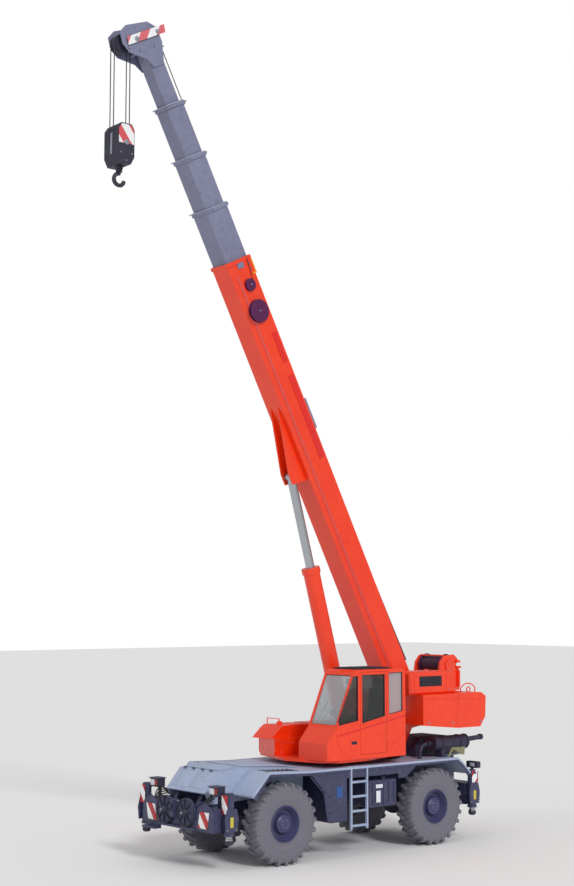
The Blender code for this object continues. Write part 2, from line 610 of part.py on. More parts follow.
def cab(turret):
    """A hollow cab with its window openings cut, a door on the left, glass, seat and console."""
    shell = prism(SIDE, CAB_LINE, (CAB_IN, CAB_OUT))
    hollow = prism(SIDE, shrunk(CAB_LINE, CAB_WALL), (CAB_IN + CAB_WALL, CAB_OUT - CAB_WALL))
    door_line = ((DOOR_FRONT_X, DOOR_LOW), (DOOR_FRONT_X, DOOR_HIGH), (DOOR_REAR_X, DOOR_HIGH),
                 (DOOR_REAR_X, DOOR_LOW))
    wide = CAB_OUT - CAB_WALL
    openings = [prism(SIDE, door_line, (wide - 0.1, CAB_OUT + 0.1)),
                prism(SIDE, REAR_WINDOW, (wide - 0.1, CAB_OUT + 0.1)),
                prism(SIDE, QUARTER_WINDOW, (wide - 0.1, CAB_OUT + 0.1)),
                prism(SIDE, RIGHT_WINDOW, (CAB_IN - 0.1, CAB_IN + 0.1)),
                moved(box((-PANE, CAB_IN + 0.06, -0.2), (PANE, CAB_OUT - 0.06, 0.2)), WINDSHIELD),
                box((-0.72, CAB_IN + 0.09, 3.3), (0.10, CAB_OUT - 0.09, 3.6)),
                box((-1.2, CAB_IN + 0.10, 2.55), (-1.0, CAB_OUT - 0.10, 3.30))]
    shell = cut(shell, hollow, *openings)
    piece("cab", shell, turret, ORANGE)
    in_side = (CAB_OUT - 0.03, CAB_OUT - 0.03 + GLASS)
    panes = {
        "windshield": moved(box((-PANE + GAP, CAB_IN + 0.06 + GAP, 0.012),
                                (PANE - GAP, CAB_OUT - 0.06 - GAP, 0.012 + GLASS)), WINDSHIELD),
        "rear_side_glass": prism(SIDE, shrunk(REAR_WINDOW, GAP), in_side),
        "right_glass": prism(SIDE, shrunk(RIGHT_WINDOW, GAP), (CAB_IN + 0.02, CAB_IN + 0.02 + GLASS)),
    }
    for name, shape in panes.items():
        piece(f"cab_{name}", shape, turret, "C8D2D8", 0.05)
    floor = FLOOR_TOP + GAP + CAB_WALL + GAP
    middle = (CAB_IN + CAB_OUT) / 2
    seat = union(box((-0.70, middle - 0.25, floor + 0.42), (-0.20, middle + 0.25, floor + 0.56), 0.03),
                 moved(box((-0.08, -0.24, -0.05), (0.06, 0.24, 0.75), 0.03),
                       Matrix.Translation((-0.66, middle, floor + 0.50)) @ Matrix.Rotation(-0.16, 4, "Y")),
                 box((-0.60, middle - 0.16, floor), (-0.28, middle + 0.16, floor + 0.45)))
    piece("cab_seat", seat, turret, "26262C", 0.8)
    console = union(box((0.45, middle - 0.30, floor), (0.72, middle + 0.30, floor + 0.42), 0.02),
                    wire(((0.55, middle, floor + 0.38), (0.28, middle, floor + 0.75)), 0.03),
                    moved(turned("Z", (0, 0, 0), [(0.016 * sin(a), 0.19 + 0.016 * cos(a))
                                                 for a in [i * pi / 4 for i in range(8)]], 24),
                          Matrix.Translation((0.28, middle, floor + 0.75)) @ Matrix.Rotation(-0.6, 4, "Y")),
                    moved(box((-0.2, -0.02, -0.012), (0.2, 0.02, 0.012)),
                          Matrix.Translation((0.28, middle, floor + 0.75)) @ Matrix.Rotation(-0.6, 4, "Y")))
    piece("cab_console", console, turret, "30303A", 0.7)
    pivot_x, pivot_y = DOOR_REAR_X + HINGE_INSET, CAB_OUT - HINGE_PIN
    hinge = frame("cab_door_hinge", turret, (pivot_x - SLEW_X, pivot_y, 0))
    leaf = prism(SIDE, shrunk(door_line, RUN), (CAB_OUT - CAB_WALL + RUN, CAB_OUT),
                 (DOOR_WINDOW,))
    pin = rod("Z", (pivot_x, pivot_y, 0), (DOOR_LOW + GAP, DOOR_LOW + RUN + SINK), HINGE_PIN - SINK / 2,
              segments=12)
    piece("cab_door", union(leaf, pin), hinge, ORANGE)
    pane = prism(SIDE, shrunk(DOOR_WINDOW, GAP), (CAB_OUT - 0.03, CAB_OUT - 0.03 + GLASS))
    piece("cab_door_glass", pane, hinge, "C8D2D8", 0.05)


PANE = 0.50                  # half height of the windshield along its slope
REAR_WINDOW = ((-1.00, 2.66), (-0.64, 2.60), (-0.64, 3.40), (-1.00, 3.41))
QUARTER_WINDOW = ((0.66, 2.45), (0.66, 2.52), (0.29, 3.36), (0.17, 3.36), (0.17, 2.52))
RIGHT_WINDOW = ((-0.95, 2.5), (0.55, 2.5), (0.60, 2.56), (0.28, 3.36), (-0.95, 3.36))
DOOR_WINDOW = ((-0.53, 2.58), (0.06, 2.47), (0.06, 3.38), (-0.53, 3.38))
WINDSHIELD_TILT = atan2(3.44 - 2.39, 0.27 - 0.72)
WINDSHIELD = Matrix.Translation((0.495, 0, 2.915)) @ Matrix.Rotation(-WINDSHIELD_TILT, 4, "Y")


def winch(turret):
    """The hoist winch's drum between the cheeks."""
    axis = frame("winch_spin", turret, (WINCH_X - SLEW_X, 0, WINCH_Z))
    core, rim, half = DRUM_RADIUS, FLANGE_RADIUS, DRUM_HALF
    profile = ((-half, 0), (-half, rim), (-half + 0.02, rim), (-half + 0.02, core),
               (half - 0.02, core), (half - 0.02, rim), (half, rim), (half, 0))
    piece("winch_drum", turned("Y", (0, 0, 0), profile, 32), axis, "4B2348", own=True)


# ---------------------------------------------------------------- boom, in its own frame
def section_line(section, inset=0.0):
    """A section's outline seen along the boom: across, and up from the centre line."""
    half, back = section.width / 2, section.height / 2
    flat = half - section.across
    line = ((-half, back), (-half, section.up - back), (-flat, -back), (flat, -back),
            (half, section.up - back), (half, back))
    return shrunk(line, inset) if inset else line


def tube(section, first, last):
    """A hollow section from first to last along the boom."""
    line = section_line(section)
    hole = section_line(section, section.wall)
    return prism(FRONT, line, (first, last), (hole,))


def ring(section, first, last, rise):
    """A collar round a section's outer end."""
    line = section_line(section, -rise)
    hole = section_line(section, section.wall / 2)
    return prism(FRONT, line, (first, last - SINK), (hole,))


def boom(turret):
    """The base section and four telescoping stages, nested and carried on slide pads."""
    luff = frame("boom_luff", turret, (FOOT_X - SLEW_X, 0, FOOT_Z), -ELEVATION)
    parent = luff
    for i, section in enumerate(SECTIONS):
        tail = section.head - section.length
        body = tube(section, tail, section.head)
        if section is not SECTIONS[-1]:
            body = union(body, ring(section, section.head - COLLAR_LENGTH, section.head, COLLAR_RISE))
        if i == 0:
            body = base_fittings(section, body)
        else:
            parent = frame(f"{section.name}_slide", parent, (0, 0, 0))
            outer = SECTIONS[i - 1]
            pad = prism(FRONT, section_line(outer, outer.wall + SLIP), (tail + SINK, tail + SLIDE_PAD),
                        (section_line(section, section.wall / 2),))
            body = union(body, pad)
        piece(section.name, body, parent, section.colour, own=True)
    head(parent)
    return luff, parent


def base_fittings(section, body):
    """The base section's foot, bored for its pin, and the lugs that hold the rod's eye."""
    belly = -section.height / 2 + SINK
    line = ((EYE_ALONG - 0.20, belly), (EYE_ALONG - 0.13, -EYE_BELOW - 0.13),
            (EYE_ALONG + 0.10, -EYE_BELOW - 0.13), (EYE_ALONG + 1.40, belly))
    lugs = [prism(SIDE, line, sorted((side * 0.10, side * 0.13))) for side in (1, -1)]
    reach = CHEEK_Y - CHEEK / 2 - SLIP
    foot = rod("Y", (0, 0, 0), (-reach, reach), 0.13)
    bore = rod("Y", (0, 0, 0), (-1, 1), around(FOOT_PIN, 20))
    return cut(union(body, foot, *lugs), bore)


def head(stage):
    """The boom head's cheeks with their pins, and the sheaves on them."""
    end = SECTIONS[-1].head
    axis_x, axis_z = end + HEAD_AHEAD, -HEAD_BELOW
    half = SECTIONS[-1].width / 2
    # columns: distance past the section's end, height from its centre line
    line = ((-0.38, -0.12), (-0.20, -0.22), (0.02, -0.55), (0.20, -0.62), (0.42, -0.58), (0.50, -0.40),
            (0.45, 0.10), (0.30, 0.27), (0.02, 0.27), (-0.38, 0.12))
    outline = [(end + along, up) for along, up in line]
    parts = [prism(SIDE, outline, sorted((side * (half + GAP), side * (half + 0.02)))) for side in (1, -1)]
    pins = [rod("Y", (along, 0, up), (-half - 0.01, half + 0.01), radius)
            for along, up, radius in ((axis_x, axis_z, 0.035), (end + 0.26, 0.13, 0.03),
                                      (end - 0.04, -0.28, 0.025))]
    piece("boom_head", union(parts[0], *pins, parts[1]), stage, "8A8CAA", own=True)
    groove = SHEAVE_RADIUS - 0.02
    rim, hub = SHEAVE_RADIUS, around(0.035, 32)
    turn = []
    for middle in (-FALL_Y, FALL_Y):
        turn += [(middle - 0.045, rim), (middle - 0.03, rim), (middle - 0.012, groove),
                 (middle + 0.012, groove), (middle + 0.03, rim), (middle + 0.045, rim)]
    profile = [(-half + SLIP, hub), (-half + SLIP, 0.07), (-FALL_Y - 0.045, 0.07), *turn,
               (FALL_Y + 0.045, 0.07), (half - SLIP, 0.07), (half - SLIP, hub)]
    piece("head_sheaves", turned("Y", (axis_x, 0, axis_z), profile, 32), stage, DARK, own=True)


def lift_cylinder(luff):
    """The lift cylinder: its rod hangs on the boom's lugs and its barrel slides on the rod."""
    eye_x = FOOT_X + EYE_ALONG * cos(ELEVATION) + EYE_BELOW * sin(ELEVATION)
    eye_z = FOOT_Z + EYE_ALONG * sin(ELEVATION) - EYE_BELOW * cos(ELEVATION)
    lean = atan2(eye_z - LIFT_Z, eye_x - LIFT_X)
    length = hypot(eye_z - LIFT_Z, eye_x - LIFT_X)
    eye = frame("lift_rod_pin", luff, (EYE_ALONG, 0, -EYE_BELOW), ELEVATION - lean)
    slide = frame("lift_barrel_slide", eye, (-length, 0, 0))
    bore = BARREL_RADIUS - 0.03
    stem = union(rod("X", (0, 0, 0), (-ROD_LENGTH, -0.04), ROD_RADIUS),
                 rod("X", (0, 0, 0), (-ROD_LENGTH - 0.12, -ROD_LENGTH + SINK), bore * cos(pi / 28) - SLIP),
                 rod("Y", (0, 0, 0), (-0.10 + SLIP, 0.10 - SLIP), 0.10))
    piece("lift_rod", stem, eye, "9A9CA6", 0.25, 0.9, own=True)
    top, outer, gland = BARREL_LENGTH, BARREL_RADIUS, around(ROD_RADIUS, 28, SLIP)
    profile = ((BARREL_START, 0), (BARREL_START, outer), (top - 0.12, outer), (top - 0.12, outer + 0.02),
               (top, outer + 0.02), (top, gland), (top - 0.10, gland),
               (top - 0.10, bore), (0.20, bore), (0.20, 0))
    neck = box((0, -FOOT_HALF, -0.10), (BARREL_START + SINK, FOOT_HALF, 0.10))
    barrel = union(turned("X", (0, 0, 0), profile, 28), neck, rod("Y", (0, 0, 0), (-FOOT_HALF, FOOT_HALF), 0.12))
    piece("lift_barrel", barrel, slide, ORANGE, own=True)


def tackle(stage):
    """The rope falls with the hook block, hanging from the head sheaves, and its hook."""
    end = SECTIONS[-1].head
    hang = frame("tackle_swing", stage, (end + HEAD_AHEAD, 0, -HEAD_BELOW), ELEVATION)
    wrap = around(SHEAVE_RADIUS - 0.02 + ROPE_RADIUS, 20, SLIP)
    over = arc((0, 0), wrap, 180, 0, 10)
    falls = [wire([(-wrap, across, -BLOCK_DROP), *[(x, across, z) for x, z in over],
                   (wrap, across, -BLOCK_DROP)], ROPE_RADIUS, resolution=1) for across in (-FALL_Y, FALL_Y)]
    low, high = -BLOCK_DROP - 0.40, -BLOCK_DROP + 0.36
    line = ((-0.10, low), (0.10, low), (0.175, low + 0.14), (0.175, high - 0.10), (0.11, high),
            (-0.11, high), (-0.175, high - 0.10), (-0.175, low + 0.14))
    body = prism(SIDE, line, (-0.24, 0.24))
    neck = rod("Z", (0, 0, 0), (low - 0.05, low + SINK), 0.07)
    piece("hook_block", union(body, neck, *falls), hang, "3C3A50", own=True)
    swivel = frame("hook_swivel", hang, (0, 0, low - 0.05))
    bend = [(0.0, -0.02), (0.0, -0.09), *arc((0, -0.20), 0.11, 90, -170, 12)]
    hook = union(wire([(x, 0, z) for x, z in bend], 0.04), rod("Z", (0, 0, 0), (-0.06, -SLIP), 0.06))
    piece("hook", hook, swivel, "3C3A50", own=True)


def build():
    """Make every piece on its frame, then stand the crane on the origin."""
    root = frame("crane", None, (0, 0, 0))
    chassis(root)
    axle("front_axle", 1, root)
    axle("rear_axle", -1, root)
    wheels(root)
    deck(root)
    outriggers(root)
    front_bumper(root)
    lamps(root)
    engine(root)
    ladders(root)
    lockers(root)
    slew_ring(root)
    turret = frame("turret_slew", root, (SLEW_X, 0, 0))
    turret_frame(turret)
    counterweight(turret)
    machinery_housing(turret)
    front_cover(turret)
    cab(turret)
    winch(turret)
    luff, stage = boom(turret)
    lift_cylinder(luff)
    tackle(stage)
    stand(root)


def stand(root):
    """Shift the root so that the crane's box is centred on the origin, to the millimetre."""
    bpy.context.view_layer.update()
    places = [(shape.matrix_world @ vertex.co).x for shape in CRANE.objects if shape.type == "MESH"
              for vertex in shape.data.vertices]
    root.location.x = -round((min(places) + max(places)) / 2, 3)
    bpy.context.view_layer.update()


build()
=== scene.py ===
"""A two-axle rough-terrain mobile crane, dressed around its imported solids.

Metres throughout, +X forward, +Y to the vehicle's left, +Z up.  Places on the carrier and the upper
structure are measured from the vehicle's datum: midway between the axles, on the ground.  Places on
the boom are measured along and across the boom from its foot pin.
"""
import json
import logging
from dataclasses import dataclass
from enum import Enum
from math import atan2, cos, pi, radians, sin

import bmesh
import bpy
from mathutils import Matrix, Vector


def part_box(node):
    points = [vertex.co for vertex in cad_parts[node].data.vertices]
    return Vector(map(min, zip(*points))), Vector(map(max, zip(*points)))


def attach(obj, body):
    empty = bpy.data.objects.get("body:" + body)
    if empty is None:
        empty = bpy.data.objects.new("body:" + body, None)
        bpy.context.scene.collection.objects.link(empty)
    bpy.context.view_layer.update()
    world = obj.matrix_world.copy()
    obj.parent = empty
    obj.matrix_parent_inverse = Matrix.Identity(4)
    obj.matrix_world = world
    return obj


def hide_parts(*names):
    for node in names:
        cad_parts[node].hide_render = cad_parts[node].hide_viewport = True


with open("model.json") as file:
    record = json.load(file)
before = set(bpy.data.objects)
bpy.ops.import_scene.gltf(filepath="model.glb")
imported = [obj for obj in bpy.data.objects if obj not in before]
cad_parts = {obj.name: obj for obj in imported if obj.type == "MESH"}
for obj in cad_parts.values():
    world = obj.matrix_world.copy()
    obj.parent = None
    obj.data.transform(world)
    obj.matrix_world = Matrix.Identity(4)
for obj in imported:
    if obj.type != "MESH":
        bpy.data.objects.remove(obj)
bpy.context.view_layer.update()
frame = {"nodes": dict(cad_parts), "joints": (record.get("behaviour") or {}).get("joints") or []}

LOG = logging.getLogger("mobile_crane")
Point = tuple[float, float, float]
Outline = tuple[tuple[float, float], ...]
CORNERS = (("front_left", 1, 1), ("front_right", 1, -1), ("rear_left", -1, 1), ("rear_right", -1, -1))
JOINTS = {joint["name"]: joint for joint in frame["joints"]}


def middle(node: str) -> Vector:
    """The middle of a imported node's box."""
    low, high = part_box(node)
    return (Vector(low) + Vector(high)) / 2


DATUM_X = (middle("tyre_front_left").x + middle("tyre_rear_left").x) / 2
VEHICLE = Matrix.Translation((DATUM_X, 0, 0))
BOOM_AXIS = Vector(JOINTS["boom_stage_1_slide"]["axis"])
ELEVATION = atan2(BOOM_AXIS.z, BOOM_AXIS.x)
BOOM = Matrix.Translation(JOINTS["boom_luff"]["pos_m"]) @ Matrix.Rotation(-ELEVATION, 4, "Y")


class Facing(Enum):
    """The plane in which a flat outline is drawn, and the way in which it gets its thickness."""

    SIDE = Matrix(((1, 0, 0, 0), (0, 0, 1, 0), (0, 1, 0, 0), (0, 0, 0, 1)))
    FRONT = Matrix(((0, 0, 1, 0), (1, 0, 0, 0), (0, 1, 0, 0), (0, 0, 0, 1)))
    PLAN = Matrix.Identity(4)


class Axis(Enum):
    """The direction of a turned shape's axis."""

    X = Matrix.Rotation(pi / 2, 4, "Y")
    Y = Matrix.Rotation(-pi / 2, 4, "X")
    Z = Matrix.Identity(4)


# ---------------------------------------------------------------- finishes
def linear(code: str) -> tuple[float, float, float, float]:
    """An sRGB hex colour as linear red, green, blue and alpha.

    Args:
        code: six hex digits.

    Returns:
        The colour in Blender's working space.
    """
    parts = [int(code[i:i + 2], 16) / 255 for i in (0, 2, 4)]
    return (*(p / 12.92 if p <= 0.04045 else ((p + 0.055) / 1.055) ** 2.4 for p in parts), 1.0)


def add_node(tree: bpy.types.NodeTree, kind: str, settings: dict | None = None,
             links: dict | None = None) -> bpy.types.Node:
    """Add one node with its settings, socket values and links.

    Args:
        tree: the material's node tree.
        kind: the node's type name.
        settings: attributes of the node, or values of its inputs by name or number.
        links: for each input, by name or number, the output that feeds it.

    Returns:
        The new node.
    """
    node = tree.nodes.new(kind)
    for key, value in (settings or {}).items():
        if isinstance(key, int) or key in node.inputs:
            node.inputs[key].default_value = value
        else:
            setattr(node, key, value)
    for key, output in (links or {}).items():
        tree.links.new(output, node.inputs[key])
    return node


@dataclass(frozen=True)
class Finish:
    """A surface: two close colours that drift into each other, its gloss and its fine relief.

    The drift stands for uneven paint and settled dust, the grain for orange peel, casting sand or
    moulded texture.  Sizes are in millimetres.
    """

    name: str
    colour: str
    second: str
    roughness: float = 0.45
    metallic: float = 0.0
    drift_mm: float = 600.0
    grain_mm: float = 12.0
    relief: float = 0.15
    coat: float = 0.0
    dust: str = ""

    def patches(self, tree: bpy.types.NodeTree, place: bpy.types.NodeSocket) -> bpy.types.NodeSocket:
        """The base colour, as an output socket."""
        drift = add_node(tree, "ShaderNodeTexNoise", {"Scale": 1000 / self.drift_mm, "Detail": 5.0,
                                                      "Roughness": 0.62}, {"Vector": place})
        mix = add_node(tree, "ShaderNodeMix", {"data_type": "RGBA", 6: linear(self.colour),
                                               7: linear(self.second)}, {0: drift.outputs[0]})
        return mix.outputs[2]

    def dusted(self, tree: bpy.types.NodeTree, place: bpy.types.NodeSocket,
               colour: bpy.types.NodeSocket) -> bpy.types.NodeSocket:
        """The colour with dust in broken spots on it, where the finish has any."""
        if not self.dust:
            return colour
        spots = add_node(tree, "ShaderNodeTexNoise", {"Scale": 9.0, "Detail": 9.0, "Roughness": 0.7},
                         {"Vector": place})
        reach = add_node(tree, "ShaderNodeMapRange", {1: 0.52, 2: 0.74, 3: 0.0, 4: 0.55},
                         {0: spots.outputs[0]})
        mix = add_node(tree, "ShaderNodeMix", {"data_type": "RGBA", 7: linear(self.dust)},
                       {0: reach.outputs[0], 6: colour})
        return mix.outputs[2]

    def material(self) -> bpy.types.Material:
        """The finished material, made once and then shared."""
        found = bpy.data.materials.get(self.name)
        if found:
            return found
        made = bpy.data.materials.new(self.name)
        made.use_nodes = True
        tree = made.node_tree
        shader = tree.nodes["Principled BSDF"]
        place = add_node(tree, "ShaderNodeTexCoord").outputs["Object"]
        colour = self.dusted(tree, place, self.patches(tree, place))
        tree.links.new(colour, shader.inputs["Base Color"])
        grain = add_node(tree, "ShaderNodeTexNoise", {"Scale": 1000 / self.grain_mm, "Detail": 4.0},
                         {"Vector": place})
        gloss = add_node(tree, "ShaderNodeMapRange", {3: self.roughness - 0.08, 4: self.roughness + 0.10},
                         {0: grain.outputs[0]})
        tree.links.new(gloss.outputs[0], shader.inputs["Roughness"])
        bump = add_node(tree, "ShaderNodeBump", {"Strength": self.relief, "Distance": 0.002},
                        {"Height": grain.outputs[0]})
        tree.links.new(bump.outputs[0], shader.inputs["Normal"])
        shader.inputs["Metallic"].default_value = self.metallic
        shader.inputs["Coat Weight"].default_value = self.coat
        shader.inputs["Coat Roughness"].default_value = 0.12
        return made


@dataclass(frozen=True)
class Stripes(Finish):
    """Reflective sheet with slanting stripes: second is the stripe's colour.

    Args of the class:
        slope: the direction across the stripes, in object space.
        pitch_mm: the distance from one stripe to the next.
    """

    slope: Point = (0.0, 1.0, 1.0)
    pitch_mm: float = 240.0
    shift: float = 0.0

    def patches(self, tree: bpy.types.NodeTree, place: bpy.types.NodeSocket) -> bpy.types.NodeSocket:
        """White sheet with stripes across its slope."""
        along = add_node(tree, "ShaderNodeVectorMath", {"operation": "DOT_PRODUCT", 1: self.slope},
                         {0: place})
        turns = add_node(tree, "ShaderNodeMath", {"operation": "MULTIPLY_ADD", 1: 1000 / self.pitch_mm,
                                                  2: self.shift}, {0: along.outputs["Value"]})
        part = add_node(tree, "ShaderNodeMath", {"operation": "FRACT"}, {0: turns.outputs[0]})
        side = add_node(tree, "ShaderNodeMath", {"operation": "GREATER_THAN", 1: 0.5}, {0: part.outputs[0]})
        mix = add_node(tree, "ShaderNodeMix", {"data_type": "RGBA", 6: linear(self.colour),
                                               7: linear(self.second)}, {0: side.outputs[0]})
        return mix.outputs[2]


@dataclass(frozen=True)
class Glass(Finish):
    """Window glass, thin enough to see through."""

    alpha: float = 0.3

    def material(self) -> bpy.types.Material:
        """The paint's material made see-through."""
        made = super().material()
        made.node_tree.nodes["Principled BSDF"].inputs["Alpha"].default_value = self.alpha
        return made


# Alkyd machine enamel, sprayed: a strong warm colour with a soft gloss and slight orange peel.
ENAMEL = Finish("orange_red_machine_enamel", "FF4206", "F02A02", 0.38, coat=0.35, dust="FF5A1E")
# The same enamel, darker and redder. On the base section's side it is painted shadow, where the jib's plates
# lie in shade; elsewhere it marks seams, belt stripes and the slew skirt.
ENAMEL_RED = Finish("scarlet_machine_enamel", "F21606", "D81810", 0.42, coat=0.25)
# The orange enamel painted brighter and yellower: a painted highlight strip on the base section's top edge.
ENAMEL_HIGHLIGHT = Finish("orange_enamel_painted_highlight", "FFA400", "FF8A08", 0.42, coat=0.25)
# Two-pack paint on the telescoping sections, greased and rubbed along their length.
SECTION_PAINT = Finish("blue_grey_two_pack_paint", "8D90AE", "73748F", 0.42, drift_mm=900, dust="5B5A74")
SECTION_BRIGHT = Finish("worn_steel_edge", "C9CBDD", "9EA2BC", 0.35, 0.5, drift_mm=80)
# Chassis paint: the pale panels on top and the dark blue-grey of the sides.
DECK_PAINT = Finish("pale_blue_grey_chassis_paint", "B4C2DC", "9DABC8", 0.5, dust="7F89A6")
SIDE_PAINT = Finish("dark_blue_grey_chassis_paint", "43466A", "34364F", 0.5, dust="6A6C8A")
DARK_STEEL = Finish("painted_dark_steel", "33324A", "25242F", 0.55, dust="56566E")
RUBBER = Finish("tyre_rubber", "2E2D38", "24232B", 0.85, grain_mm=5, relief=0.35, dust="4A4956")
SEAL = Finish("black_rubber_seal", "1C1C22", "26262C", 0.7, grain_mm=4)
WHEEL_PAINT = Finish("satin_wheel_paint", "4A4A78", "3A3A5C", 0.42, dust="5E5E80")
ROD_CHROME = Finish("hard_chromed_rod", "C4C8CC", "A9AEB4", 0.2, 1.0, drift_mm=300, grain_mm=3, relief=0.02)
ZINC = Finish("zinc_plated_steel", "B9BCC8", "9A9DAE", 0.35, 0.8, drift_mm=60, grain_mm=6)
ROPE = Finish("greased_wire_rope", "4A2340", "37202E", 0.5, 0.4, drift_mm=40, grain_mm=8, relief=0.5)
ROPE_DARK = Finish("dark_wire_rope", "2E2A2C", "232124", 0.5, 0.4, drift_mm=40, grain_mm=8, relief=0.5)
REEL_PLASTIC = Finish("plum_reel_enamel", "6A0F5A", "3B0C3C", 0.4, drift_mm=90)
SILENCER = Finish("heat_stained_silencer_steel", "3D3A55", "2C2A3C", 0.55, 0.2, drift_mm=150, dust="5E5A70")
KHAKI = Finish("khaki_bracket_paint", "9A9770", "83805E", 0.6)
PLASTIC = Finish("moulded_black_plastic", "22222A", "2B2B34", 0.6, grain_mm=3)
SEAT_CLOTH = Finish("woven_seat_cloth", "2B2B33", "212128", 0.9, grain_mm=4, relief=0.6)
LENS_CLEAR = Finish("clear_lamp_lens", "E8ECF2", "C9D0DC", 0.12, grain_mm=18, relief=0.5)
LENS_RED = Finish("red_lamp_lens", "B02A2A", "8C1E22", 0.2, grain_mm=18, relief=0.5)
LABEL_WHITE = Finish("white_vinyl_label", "EDEFF5", "DADDE8", 0.4)
LABEL_YELLOW = Finish("yellow_vinyl_label", "D9C83C", "C4B232", 0.4)
LABEL_BLUE = Finish("blue_vinyl_label", "2F5DA8", "274E90", 0.4)
HAZARD = Stripes("hazard_sheet_front", "F2F2F4", "B92A2E", 0.35, slope=(0.0, 0.8, 0.6), pitch_mm=260)
HAZARD_SIDE = Stripes("hazard_sheet_side", "F2F2F4", "B92A2E", 0.35, slope=(0.75, 0.0, 0.65), pitch_mm=260)
HAZARD_BLOCK = Stripes("hazard_sheet_block", "F2F2F4", "D8565E", 0.35, slope=(0.8, 0.0, -0.6), pitch_mm=300)
HAZARD_HEAD = Stripes("hazard_sheet_head", "F4F4F8", "DE6A74", 0.35, slope=(0.95, 0.0, 0.32), pitch_mm=330)
PANE_CLEAR = Glass("laminated_windscreen", "C9CFD2", "B7BDC2", 0.06, relief=0.0, alpha=0.42)
PANE_DARK = Glass("tinted_window_glass", "3A403E", "2C3230", 0.06, relief=0.0, alpha=0.62)
CAST_IRON = Finish("painted_engine_casting", "55555E", "44444C", 0.6, grain_mm=6, relief=0.5)

NODE_FINISHES = {
    "deck": DECK_PAINT, "ladder_left": DECK_PAINT, "ladder_right": DECK_PAINT, "chassis": SIDE_PAINT,
    "front_axle": DARK_STEEL, "rear_axle": DARK_STEEL, "front_bumper": SIDE_PAINT,
    "headlamp_left": DARK_STEEL, "headlamp_right": DARK_STEEL, "engine_block": CAST_IRON,
    "engine_hood": SIDE_PAINT, "exhaust_silencer": SILENCER, "lockers_left": SIDE_PAINT,
    "lockers_right": SIDE_PAINT, "slewing_ring": DARK_STEEL, "winch_drum": ROPE,
    "cab_windshield": PANE_CLEAR, "cab_rear_side_glass": PANE_CLEAR, "cab_right_glass": PANE_CLEAR,
    "cab_door_glass": PANE_DARK, "cab_seat": SEAT_CLOTH, "cab_console": PLASTIC,
    "boom_base": ENAMEL, "boom_stage_1": SECTION_PAINT, "boom_stage_2": SECTION_PAINT,
    "boom_stage_3": SECTION_PAINT, "boom_stage_4": SECTION_PAINT, "boom_head": SECTION_PAINT,
    "head_sheaves": DARK_STEEL, "lift_rod": ROD_CHROME, "lift_barrel": ENAMEL,
    "hook_block": DARK_STEEL, "hook": DARK_STEEL,
}
PREFIX_FINISHES = {"tyre": RUBBER, "rim": WHEEL_PAINT, "knuckle": DARK_STEEL, "outrigger_beam": SIDE_PAINT,
                   "outrigger_jack": ROD_CHROME}


def dress_packed_nodes() -> None:
    """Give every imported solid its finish."""
    for name, node in frame["nodes"].items():
        finish = NODE_FINISHES.get(name)
        if finish is None:
            finish = next((f for start, f in PREFIX_FINISHES.items() if name.startswith(start)), ENAMEL)
        node.data.materials.clear()
        node.data.materials.append(finish.material())


